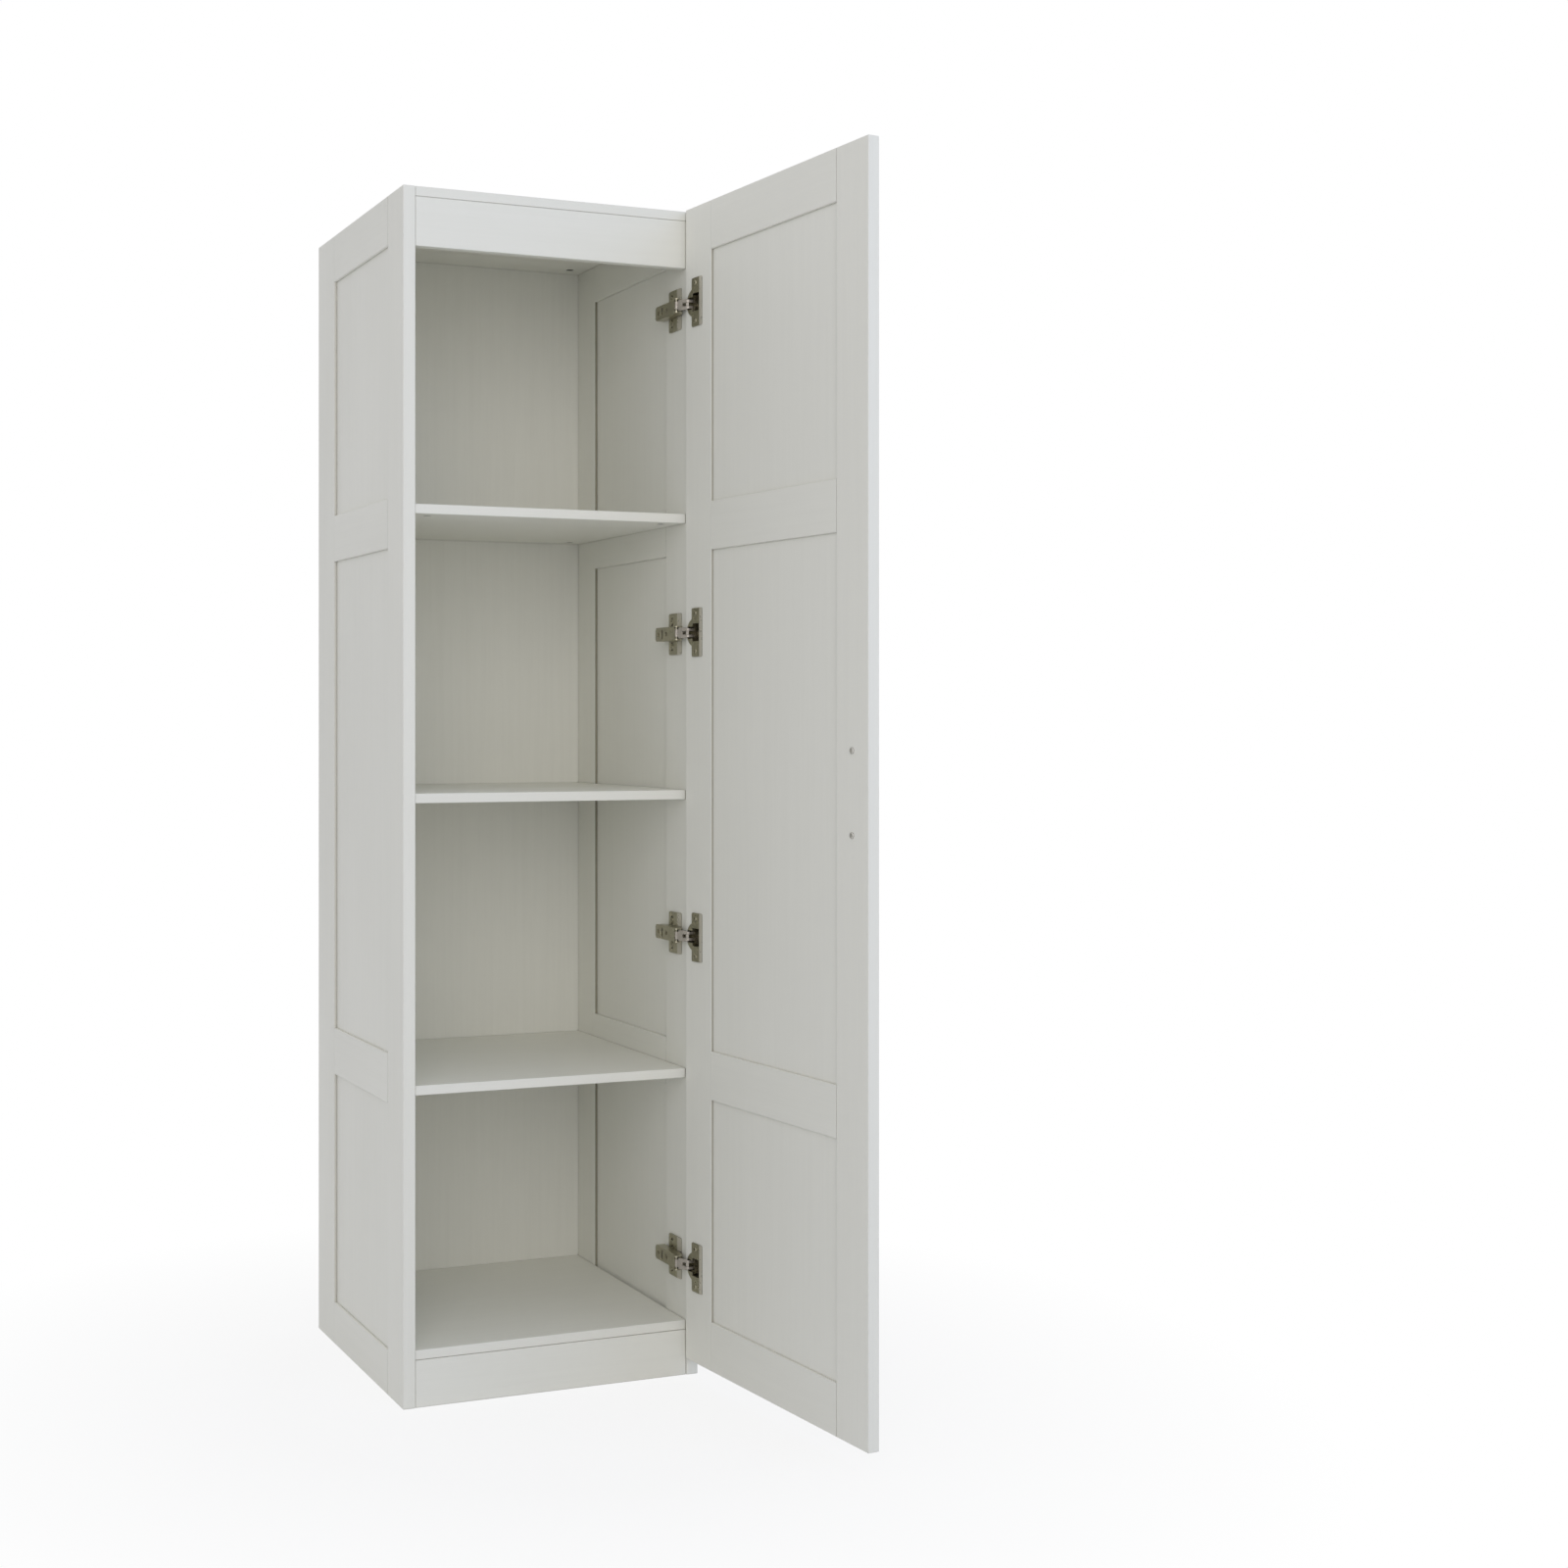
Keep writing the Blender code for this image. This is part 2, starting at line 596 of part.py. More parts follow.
def build_arm(prefix, place):
    """A channel over the plate's spine, with a blunt tail and the two links' pins across its nose."""
    half = ARM_TALL / 2
    low = FIT + PLATE_THICK + FIT
    step = 2 * STEEL
    outline = [
        (low, step - ARM_REAR),
        (low, -SPINE_FORE + ARM_NOSE),
        *arc(INNER_PIVOT, ARM_NOSE, 200, 100),
        *arc(OUTER_PIVOT, ARM_NOSE, 110, -30),
        (ARM_HIGH, -ARM_OPEN_FROM - ARM_NOSE),
        (ARM_HIGH, step - ARM_REAR),
        (ARM_HIGH - step, -ARM_REAR),
        (low + step, -ARM_REAR),
    ]
    arm = prism(f"{prefix}_arm", outline, -half, half, place)
    far = OUTER_PIVOT_OUT + ARM_HIGH
    hollow = [
        (-ARM_HIGH, -ARM_REAR + ARM_TAIL),
        (WEB_UNDER, -ARM_REAR + ARM_TAIL),
        (WEB_UNDER, -ARM_OPEN_FROM),
        (far, -ARM_OPEN_FROM),
        (far, far),
        (-ARM_HIGH, far),
    ]
    cut(arm, prism(f"{prefix}_arm_hollow", hollow, -CHEEK_INNER, CHEEK_INNER, place))
    for name, sign in (("low", -1), ("high", 1)):
        long, tall = ARM_CORNER_LONG, sign * ARM_CORNER_TALL
        ends = [(-ARM_REAR + a * long, sign * half + b * tall) for a, b in ((-1, -2), (2, 1), (-1, 1))]
        cut(arm, prism(f"{prefix}_arm_{name}_corner", ends, 0, 2 * ARM_HIGH, place, "x"))
    notches = []
    for low_z, high_z in (ARM_NOTCH_SPAN, [-z for z in reversed(ARM_NOTCH_SPAN)]):
        notches.append(((WEB_UNDER - STEEL, -ARM_NOTCH_BACK, low_z), (ARM_HIGH + STEEL, 0, high_z)))
    cut(arm, boxes(f"{prefix}_arm_notches", notches, place))
    hole = ARM_SCREW_ACROSS / 2 + ARM_SCREW_PLAY
    holes = [(0, -back, 0) for back in ARM_SCREW_BACKS]
    through = ((WEB_UNDER - STEEL, hole), (ARM_HIGH + STEEL, hole))
    cut(arm, turned(f"{prefix}_arm_holes", through, place, "x", BORE_FACETS, holes))
    slot_low = (WEB_UNDER - STEEL, -ARM_SLOT_BACK - ARM_SLOT_WIDE / 2, -ARM_SLOT_TALL / 2)
    slot_high = (ARM_HIGH + STEEL, -ARM_SLOT_BACK + ARM_SLOT_WIDE / 2, ARM_SLOT_TALL / 2)
    cut(arm, box(f"{prefix}_arm_slot", slot_low, slot_high, place))
    rivet, pin = RIVET_ACROSS / 2, PIN_ACROSS / 2
    end, seat = half + RIVET_PROUD, CHEEK_INNER + STEEL / 2
    profile = [(-end, rivet - RIVET_PROUD), (-half, rivet), (-seat, rivet), (-seat, pin)]
    profile += [(-position, radius) for position, radius in reversed(profile)]
    pins = [(*OUTER_PIVOT, 0), (*INNER_PIVOT, 0)]
    weld_on(arm, turned(f"{prefix}_arm_pins", profile, place, "z", PIN_FACETS, pins))
    return finish(arm, "nickel")


def build_outer_link(prefix, place):
    """The broad link from the arm's nose into the cup, slotted where the inner link passes it."""
    pivot = axis_empty(f"{prefix}_outer_axis", (*OUTER_PIVOT, 0), OUTER_TURN_SHARE * OPEN_ANGLE, place)
    half = OUTER_TALL / 2
    end = CUP_PIVOT_SHUT - OUTER_PIVOT
    line = bent_line(Vector((0, 0)), end, OUTER_BEND_SHARES)
    link = prism(f"{prefix}_outer_link", ribbon(line, STEEL / 2), -half, half, pivot)
    slot, reach = OUTER_SLOT_TALL / 2, 2 * end.x
    barrel, barrel_half = OUTER_BARREL_ACROSS / 2, OUTER_BARREL_TALL / 2
    gaps = [((reach, reach, -slot), (line[1].x, -reach, slot))]
    for sign in (-1, 1):
        for inner, low, high in (
            (OUTER_EYE_OUT, (reach, reach), (line[2].x, -reach)),
            (barrel_half, (-barrel - EASE, -barrel - EASE), (barrel + EASE, barrel + EASE)),
        ):
            low_z, high_z = sorted((sign * inner, sign * (half + FIT)))
            gaps.append(((*low, low_z), (*high, high_z)))
    cut(link, boxes(f"{prefix}_outer_gaps", gaps, pivot))
    tube = ((-barrel_half, barrel), (barrel_half, barrel))
    weld_on(link, turned(f"{prefix}_outer_barrel", tube, pivot, "z", BORE_FACETS))
    eye = OUTER_EYE_ACROSS / 2
    spots = [(*end, -OUTER_EYE_OUT), (*end, slot)]
    ring = ((0, eye), (OUTER_EYE_OUT - slot, eye))
    weld_on(link, turned(f"{prefix}_outer_eyes", ring, pivot, "z", PIN_FACETS, spots))
    bore = PIN_ACROSS / 2 + PIN_PLAY
    cut(link, turned(f"{prefix}_outer_bore", ((-ARM_TALL, bore), (ARM_TALL, bore)), pivot, "z", PIN_FACETS))
    small = CUP_PIN_ACROSS / 2 + PIN_PLAY
    through = ((-ARM_TALL, small), (ARM_TALL, small))
    cut(link, turned(f"{prefix}_outer_eye_bore", through, pivot, "z", PIN_FACETS, [(*end, 0)]))
    return finish(link, "link")


def build_inner_link(prefix, place):
    """The narrow link that passes through the outer link's slot."""
    pivot = axis_empty(f"{prefix}_inner_axis", (*INNER_PIVOT, 0), INNER_TURN_SHARE * OPEN_ANGLE, place)
    half = INNER_TALL / 2
    end = Vector((math.cos(INNER_HEADING), math.sin(INNER_HEADING))) * INNER_LONG
    line = bent_line(Vector((0, 0)), end, INNER_BEND_SHARES)
    link = prism(f"{prefix}_inner_link", ribbon(line, STEEL / 2), -half, half, pivot)
    barrel, tip = INNER_BARREL_ACROSS / 2, INNER_TIP_ACROSS / 2
    tube = ((-INNER_BARREL_TALL / 2, barrel), (INNER_BARREL_TALL / 2, barrel))
    weld_on(link, turned(f"{prefix}_inner_barrel", tube, pivot, "z", BORE_FACETS))
    rod = ((-half, tip), (half, tip))
    weld_on(link, turned(f"{prefix}_inner_tip", rod, pivot, "z", PIN_FACETS, [(*end, 0)]))
    bore = PIN_ACROSS / 2 + PIN_PLAY
    cut(link, turned(f"{prefix}_inner_bore", ((-ARM_TALL, bore), (ARM_TALL, bore)), pivot, "z", PIN_FACETS))
    return finish(link, "link")


def build_cup(prefix, door_axis, height, stile):
    """The cup let into the door, its flange and screws, and the studs that the outer link turns on."""
    place = axis_empty(f"{prefix}_cup_place", (CUP_PIVOT_BACK, -CUP_PIVOT_DEEP, height), 0, door_axis)
    outer = CUP_ACROSS / 2 - FIT
    face, rim_face = -FIT - FLANGE_THICK, -FIT - RIM_THICK
    rim = RIM_ACROSS / 2
    profile = (
        (rim_face, rim - RIM_THICK / 2),
        (rim_face + RIM_THICK / 2, rim),
        (-FIT, rim),
        (-FIT, outer),
        (CUP_DEEP - CUP_FLOOR, outer),
        (CUP_DEEP, outer - CUP_FLOOR),
    )
    cup = turned(f"{prefix}_cup", profile, place, "y", CUP_FACETS)
    middle = FLANGE_FROM_EDGE - CUP_FROM_EDGE
    low = (middle - FLANGE_WIDE / 2, -FLANGE_TALL / 2)
    high = (middle + FLANGE_WIDE / 2, FLANGE_TALL / 2)
    flange = rounded_outline(low, high, FLANGE_ROUND)
    weld_on(cup, prism(f"{prefix}_cup_flange", flange, face, -FIT, place, "y"))
    crest = (high[0] - FLANGE_SLOPE_WIDE, face)
    foot = (high[0], face + FLANGE_SLOPE_DROP)
    cut(cup, slope(f"{prefix}_cup_slope", crest, foot, (0, -FLANGE_THICK), FLANGE_TALL, place))
    inner = outer - CUP_WALL
    angles = [2 * math.pi * (i + 1 / 2) / CUP_FACETS for i in range(CUP_FACETS)]

    def clipped(fore, half):
        return [(min(inner * math.cos(a), fore), max(-half, min(inner * math.sin(a), half))) for a in angles]

    through = COVER_DEEP + EASE
    hollow = clipped(HOLLOW_FORE, HOLLOW_TALL / 2)
    cut(cup, prism(f"{prefix}_cup_hollow", hollow, COVER_DEEP, CUP_DEEP - CUP_FLOOR, place, "y"))
    cut(cup, prism(f"{prefix}_cup_slot", clipped(0, MOUTH_SLOT_TALL / 2), 2 * face, through, place, "y"))
    mouth = ((-MOUTH_BACK, 2 * face, -MOUTH_TALL / 2), (MOUTH_FORE, through, MOUTH_TALL / 2))
    cut(cup, box(f"{prefix}_cup_mouth", *mouth, place))
    stud = CUP_PIN_ACROSS / 2
    wall = math.sqrt(inner**2 - CUP_PIVOT_BACK**2) + CUP_WALL / 2
    slot = OUTER_SLOT_TALL / 2
    rod = ((0, stud), (wall - slot, stud))
    spots = [(-CUP_PIVOT_BACK, CUP_PIVOT_DEEP, slot), (-CUP_PIVOT_BACK, CUP_PIVOT_DEEP, -wall)]
    weld_on(cup, turned(f"{prefix}_cup_studs", rod, place, "z", PIN_FACETS, spots))
    across = FLANGE_SCREW_FROM_EDGE - CUP_FROM_EDGE
    spots = [(across, 0, sign * FLANGE_SCREW_SPREAD / 2) for sign in (-1, 1)]
    weld_on(cup, screw(f"{prefix}_cup_screws", place, "y", face, 1, FLANGE_THICK / 2, spots))
    cut(cup, recesses(f"{prefix}_cup_recesses", place, "y", face - SCREW_HEAD_HIGH, 1, spots))
    bore = ((-EASE, CUP_ACROSS / 2), (CUP_DEEP + FIT, CUP_ACROSS / 2))
    cut(stile, turned(f"{prefix}_cup_bore", bore, place, "y", CUP_FACETS))
    pilot = ((-EASE, SCREW_ACROSS / 2 + FIT), (SCREW_LONG + FIT, SCREW_ACROSS / 2 + FIT))
    cut(stile, turned(f"{prefix}_cup_pilots", pilot, place, "y", SCREW_FACETS, spots))
    return finish(cup, "nickel")


def build_handle(door_axis, stile):
    """A bow handle lofted along its length, and the two screws that hold it through the stile."""
    across = DOOR_WIDE - DOOR_STILE / 2 - PIVOT_ACROSS
    place = axis_empty("handle_place", (across, DOOR_THICK - CUP_PIVOT_DEEP + FIT, DOOR_MIDDLE), 0, door_axis)
    stations = [(-a, b, c, d) for a, b, c, d in reversed(HANDLE_SHARES[1:])] + list(HANDLE_SHARES)
    shape = bmesh.new()
    rings = []
    for along, under, over, wide in stations:
        ring = []
        for i in range(HANDLE_FACETS):
            angle = 2 * math.pi * (i + 1 / 2) / HANDLE_FACETS
            side = math.copysign(abs(math.cos(angle)) ** SECTION_POWER, math.cos(angle))
            rise = math.copysign(abs(math.sin(angle)) ** SECTION_POWER, math.sin(angle))
            x = side * wide * HANDLE_WIDE / 2
            y = ((under + over) / 2 + rise * (over - under) / 2) * HANDLE_HIGH
            ring.append(shape.verts.new((x, y, along * HANDLE_LONG / 2)))
        rings.append(ring)
    shape.faces.new(rings[0])
    shape.faces.new(reversed(rings[-1]))
    for one, two in zip(rings, rings[1:]):
        for i in range(HANDLE_FACETS):
            j = (i + 1) % HANDLE_FACETS
            shape.faces.new((one[i], one[j], two[j], two[i])).smooth = True
    handle = wrap("handle", shape, (0, 0, 0), place)
    spots = [(0, 0, sign * HANDLE_SCREW_SPREAD / 2) for sign in (-1, 1)]
    shank = HANDLE_SCREW_ACROSS / 2
    bore = ((-FIT, shank + FIT), (HANDLE_SCREW_BITE, shank + FIT))
    cut(handle, turned("handle_screw_bores", bore, place, "y", SCREW_FACETS, spots))
    finish(handle, "black")

    inside = -DOOR_THICK - FIT
    through = ((inside - EASE, shank + FIT), (EASE, shank + FIT))
    cut(stile, turned("handle_stile_holes", through, place, "y", SCREW_FACETS, spots))
    head = HANDLE_SCREW_HEAD_ACROSS / 2
    top = inside - FIT - HANDLE_SCREW_HEAD_HIGH
    profile = (
        (top, head - HANDLE_SCREW_HEAD_HIGH / 2),
        (top + HANDLE_SCREW_HEAD_HIGH / 2, head),
        (inside - FIT, head),
        (inside - FIT, shank),
        (HANDLE_SCREW_BITE - FIT, shank),
    )
    for name, spot in zip(("handle_screw_low", "handle_screw_high"), spots):
        bolt = turned(name, profile, place, "y", SCREW_FACETS, [spot])
        cut(bolt, recesses(f"{name}_recess", place, "y", top, 1, [spot]))
        finish(bolt, "screw")


def build_door():
    """The door on an empty at its axis in the cups, turned open."""
    now = turn_point(CUP_PIVOT_SHUT, OUTER_PIVOT, OUTER_TURN_SHARE * OPEN_ANGLE)
    door_axis = axis_empty("door_axis", (INNER_HALF - now.x, FRONT_Y - now.y, 0), math.pi + OPEN_ANGLE)
    corner = (-PIVOT_ACROSS, -CUP_PIVOT_DEEP)
    rails = rail_heights(DOOR_BOTTOM, DOOR_TOP, DOOR_RAIL_HIGH, DOOR_RAIL_HIGH)
    stiles = (("hinge_stile", DOOR_STILE), ("handle_stile", DOOR_STILE))
    leaf = framed_leaf(
        "door", door_axis, corner, DOOR_WIDE, DOOR_BOTTOM, DOOR_TOP, DOOR_THICK, DOOR_RECESS, stiles, rails
    )
    build_handle(door_axis, leaf["handle_stile"])
    return door_axis, leaf["hinge_stile"]


def build_hinges(side, door_axis, hinge_stile):
    for number, height in enumerate(HINGE_HEIGHTS, 1):
        prefix = f"hinge_{number}"
        place = axis_empty(f"{prefix}_place", (INNER_HALF, FRONT_Y, height), math.pi)
        build_plate(prefix, place, side)
        build_arm(prefix, place)
        build_outer_link(prefix, place)
        build_inner_link(prefix, place)
        build_cup(prefix, door_axis, height, hinge_stile)


clear_scene()
PARTS = new_collection("tall_storage_cabinet")
CUTTERS = new_collection("cutters", hidden=True)
right_side = build_carcass()
build_hinges(right_side, *build_door())
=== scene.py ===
"""Finishes, small fittings, stage and camera for a tall storage cabinet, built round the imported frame.

It is laid out as a Blender add-on and run as a script. Lengths are metres in the frame's own axes: +Z is
up, the front faces -Y, and the door stands open on the cabinet's right.
"""

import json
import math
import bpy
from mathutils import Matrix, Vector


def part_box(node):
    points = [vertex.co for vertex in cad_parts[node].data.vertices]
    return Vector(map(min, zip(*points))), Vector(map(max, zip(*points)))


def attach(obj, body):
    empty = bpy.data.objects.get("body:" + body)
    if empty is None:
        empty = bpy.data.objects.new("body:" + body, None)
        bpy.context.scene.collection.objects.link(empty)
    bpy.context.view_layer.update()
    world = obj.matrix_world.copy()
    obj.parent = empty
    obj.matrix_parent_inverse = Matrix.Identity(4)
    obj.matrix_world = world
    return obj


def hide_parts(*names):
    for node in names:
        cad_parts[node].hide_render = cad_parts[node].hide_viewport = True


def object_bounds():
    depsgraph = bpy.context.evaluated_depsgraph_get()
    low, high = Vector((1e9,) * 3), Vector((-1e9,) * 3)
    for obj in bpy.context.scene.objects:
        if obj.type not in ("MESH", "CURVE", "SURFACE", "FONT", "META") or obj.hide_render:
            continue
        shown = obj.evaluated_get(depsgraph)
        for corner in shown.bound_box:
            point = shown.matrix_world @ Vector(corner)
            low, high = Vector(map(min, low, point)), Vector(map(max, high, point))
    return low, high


bl_info = {
    "name": "Tall storage cabinet",
    "version": (1, 0, 0),
    "blender": (4, 5, 0),
    "location": "3D View > Sidebar > Cabinet",
    "description": "Dresses the packed cabinet in its finishes and fittings, and sets the stage",
    "category": "Object",
}

import bmesh
import bpy
from bpy.props import FloatProperty, FloatVectorProperty, IntProperty, PointerProperty
from mathutils import Matrix, Vector

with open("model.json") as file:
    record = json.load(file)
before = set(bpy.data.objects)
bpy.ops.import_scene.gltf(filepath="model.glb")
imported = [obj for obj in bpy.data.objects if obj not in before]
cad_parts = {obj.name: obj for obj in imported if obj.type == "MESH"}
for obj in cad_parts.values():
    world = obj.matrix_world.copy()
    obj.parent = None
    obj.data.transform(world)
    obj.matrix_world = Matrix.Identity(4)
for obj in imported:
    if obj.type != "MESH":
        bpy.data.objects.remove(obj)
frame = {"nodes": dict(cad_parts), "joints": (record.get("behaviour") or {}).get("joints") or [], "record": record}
CAD_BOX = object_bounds()

UP = Vector((0, 0, 1))
ALONG_X = Vector((1, 0, 0))
ALONG_Y = Vector((0, 1, 0))
TURN = 2 * math.pi

# The door's closed end of travel and the share of its swing that the outer links take give its rest angle.
JOINTS = {joint["name"]: joint for joint in frame["joints"]}
COUPLINGS = {pair["joint"]: pair["ratio"] for pair in frame["record"]["behaviour"]["couplings"]}
SWING_TO_SHUT = JOINTS["door_swing"]["range_deg"][0]
DOOR_OPEN = -SWING_TO_SHUT * (1 + COUPLINGS["outer_link_swing"])
DOOR_TURN = Matrix.Rotation(math.radians(180 + DOOR_OPEN), 3, "Z")
DOOR_ACROSS = DOOR_TURN @ ALONG_X
DOOR_OUT = DOOR_TURN @ ALONG_Y

# Along half the handle from its middle, its underside, its top and its width, as shares of its sizes.
HANDLE_SHARES = (
    (0.00, 0.700, 0.955, 0.594),
    (0.18, 0.690, 0.948, 0.610),
    (0.33, 0.635, 0.925, 0.665),
    (0.43, 0.530, 0.880, 0.740),
    (0.50, 0.370, 0.770, 0.805),
    (0.56, 0.170, 0.640, 0.865),
    (0.62, 0.000, 0.500, 0.920),
    (0.70, 0.000, 0.385, 0.965),
    (0.80, 0.000, 0.290, 1.000),
    (0.90, 0.000, 0.225, 0.985),
    (0.96, 0.000, 0.165, 0.880),
    (1.00, 0.000, 0.080, 0.620),
)

# How square the handle's section is, from 1 for an ellipse towards 0, and the steps from one row to the next.
SECTION_POWER = 0.62
HANDLE_STEPS = 5

# Patterns of the pressed grain: the spacing across, across and along a board, the detail and roughness of the
# noise, and the band of it that shows. Each board's grain is shifted by its number.
GRAIN_PATTERNS = {
    "Streaks": ((0.007, 0.007, 0.28), 4.0, 0.62, (0.38, 0.66)),
    "Pores": ((0.0012, 0.0012, 0.034), 2.0, 0.50, (0.55, 0.72)),
    "Clouds": ((0.11, 0.11, 0.30), 2.0, 0.50, (0.35, 0.65)),
}
GRAIN_SHIFT = (0.37, 0.61, 0.23)

# Bands of noise or shelter, from where an effect starts to where it is full.
WORN_BAND = (0.35, 0.62)
SPECKLE_BAND = (0.35, 0.65)
SMEAR_BAND = (0.30, 0.70)
CORNER_BAND = (0.30, 0.95)
HOLLOW_BAND = (0.15, 0.45)
BLOTCH_DETAIL = 3.0

# Bands of the cosine between two directions, from where an effect starts to where it is full.
EDGE_TURN = (0.995, 0.90)
JOINT_TURN = (0.80, 0.97)
# The next two bands pick the sloped strips that take a painted highlight.
STRIP_TURN = (0.95, 0.975)
FLAT_TURN = (0.997, 0.991)

# Painted boards: shares of the effects, and how they change the roughness and the relief.
PORE_SHARE = 0.6
WORN_SHARE = 0.5
WORN_PATCH = 0.03
BOARD_ROUGH_SPREAD = (-0.04, 0.05)
PORE_ROUGH = 0.10
PORE_RISE = -0.8
STREAK_SINK = 0.5
BOARD_BUMP = 0.6

# Plated and cast metal: shares of the effects, their sizes, and how they change the roughness and the relief.
BRIGHT_SHARE = 1.35
DULL_SHARE = 0.80
SMEAR_SHARE = 0.6
# The next three are shares of painted shade in corners, inside hollows and on the plates' screws.
CORNER_SHADE_SHARE = 0.85
HOLLOW_SHADE_SHARE = 0.92
SCREW_SHADE_SHARE = 0.95
# Metallic of the strips that take a painted highlight.
STRIP_METALLIC = 0.45
METAL_SPECKLE = 0.0006
METAL_SMEAR = 0.006
METAL_EDGE = 0.0004
METAL_PATCH = 0.004
METAL_ROUGH_SPREAD = (-0.05, 0.10)
CORNER_ROUGH = 0.25
METAL_RELIEF = 0.00003
METAL_BUMP = 0.35

# The handle's coat: shares of the effects, their sizes, and how they change the roughness and the relief.
COAT_RUBBED_SHARE = 0.7
COAT_SMEAR_SHARE = 0.35
COAT_SPECKLE = 0.0009
COAT_SMEAR = 0.016
COAT_EDGE = 0.0012
COAT_PATCH = 0.010
COAT_ROUGH_SPREAD = (-0.05, 0.08)
COAT_RELIEF = 0.00004
COAT_BUMP = 0.4

# A cam's sizes as shares of its radius, and how much the cross in it narrows.
CAM_NECK_SHARE = 0.55
CAM_RIM_SHARE = 0.86
CAM_DISH_SHARE = 0.10
CAM_CHAMFER_SHARE = 0.06
CROSS_LONG_SHARE = 0.56
CROSS_WIDE_SHARE = 0.17
CROSS_DEEP_SHARE = 0.42
CROSS_TAPER = 0.7

# The camera's sensor, in millimetres.
SENSOR_WIDE = 36.0


def colour_of(name, description, default):
    return FloatVectorProperty(
        name=name, description=description, subtype="COLOR", size=3, min=0.0, max=1.0, default=default
    )


def length_of(name, description, default):
    return FloatProperty(
        name=name,
        description=description,
        subtype="DISTANCE",
        unit="LENGTH",
        min=0.0,
        precision=4,
        default=default,
    )


def share_of(name, description, default):
    return FloatProperty(
        name=name, description=description, subtype="FACTOR", min=0.0, max=1.0, default=default
    )


def power_of(name, description, default):
    return FloatProperty(name=name, description=description, subtype="POWER", min=0.0, default=default)


def place_of(name, description, default):
    return FloatVectorProperty(name=name, description=description, subtype="XYZ", default=default)


class CabinetBoards(bpy.types.PropertyGroup):
    paint: colour_of("Paint", "Colour of the painted boards", (0.87, 0.866, 0.79))
    back: colour_of("Back", "Colour of the thin back panel", (0.86, 0.855, 0.775))
    streak: colour_of("Streak", "Colour of the grain's darker streaks", (0.72, 0.715, 0.635))
    worn: colour_of("Worn edge", "Colour where edges have rubbed", (0.90, 0.90, 0.88))
    # Painted shade: the next colour darkens corners, joints and the steps round the panels.
    shade_tone: colour_of("Dust", "Colour that gathers in corners and joints", (0.30, 0.28, 0.21))
    grain: share_of("Grain", "How clearly the grain shows on the boards", 0.08)
    back_grain: share_of("Back grain", "How clearly the grain shows on the back panel", 0.14)
    # Share of the painted shade in corners and joints.
    shade_share: share_of("Dusty", "How much the joints have darkened", 0.50)
    rough: share_of("Roughness", "Roughness of the paint", 0.46)
    gloss: share_of("Gloss", "How strongly the paint reflects", 0.22)
    relief: length_of("Grain relief", "Depth of the pressed grain", 0.00005)
    # Share of the painted shade on the steps round the panels.
    shade: share_of("Joint shade", "How dark the steps round the panels have grown", 0.95)
    # Reach of the painted shade from a joint.
    joint_reach: length_of("Joint reach", "How far dust spreads from a joint", 0.004)
    edge_reach: length_of("Edge reach", "How wide a rubbed edge is", 0.0009)


class CabinetMetal(bpy.types.PropertyGroup):
    nickel: colour_of("Nickel", "Colour of plates, arms and cups", (0.46, 0.435, 0.33))
    link: colour_of("Link", "Colour of the links' brighter plating", (0.38, 0.35, 0.31))
    # The strip colour is a painted highlight on the strips that slope off plates and cups.
    strip: colour_of("Strip", "Colour of the satin strips along plates and cups", (0.62, 0.59, 0.50))
    screw: colour_of("Screw", "Colour of the handle's screws", (0.58, 0.57, 0.54))
    # Colour of the painted shade in corners, hollows and on screws.
    shade_tint: colour_of("Soil", "Colour of grease in corners", (0.05, 0.042, 0.03))
    rough: share_of("Roughness", "Roughness of the plating", 0.30)
    # The next two are the reach of the painted shade from a corner, on most pieces and on the links and the
    # handle's screws.
    reach: length_of("Corner reach", "How far grease spreads from a corner", 0.0012)
    link_reach: length_of("Link reach", "The reach on the links and the handle's screws", 0.0004)
    # The next two sizes set where painted shade darkens the inside of the cups' hollow and of the holes round the
    # plates' screws.
    hollow: length_of("Hollow", "Size of the cups' hollow, which looks dark inside", 0.012)
    hole: length_of("Hole", "Size of the holes round the plates' screws, which look dark inside", 0.004)


class CabinetCams(bpy.types.PropertyGroup):
    across: length_of("Diameter", "Diameter of a cam", 0.0114)
    tall: length_of("Height", "Height of a cam in its bore", 0.0072)
    sunk: length_of("Sunk", "How far a cam's face lies inside its board", 0.0006)
    inset_x: length_of("From the end", "From a board's end to the cam's middle", 0.0237)
    front: length_of("Front row", "Place of the front row of cams", 0.021)
    rear: length_of("Rear row", "Place of the rear row of cams", 0.326)
    zinc: colour_of("Zinc", "Colour of the cast cams", (0.16, 0.155, 0.14))
    rough: share_of("Roughness", "Roughness of the cast cams", 0.45)
    speckle: length_of("Speckle", "Size of the speckle on the cast cams", 0.0004)
    facets: IntProperty(name="Facets", description="Flats round a cam", min=12, max=96, default=40)


class CabinetHandle(bpy.types.PropertyGroup):
    black: colour_of("Black", "Colour of the handle's coating", (0.012, 0.012, 0.013))
    rubbed: colour_of("Rubbed", "Colour where hands have polished the coating", (0.035, 0.035, 0.036))
    rough: share_of("Roughness", "Roughness of the coating", 0.42)
    facets: IntProperty(name="Facets", description="Flats round the handle", min=12, max=96, default=36)


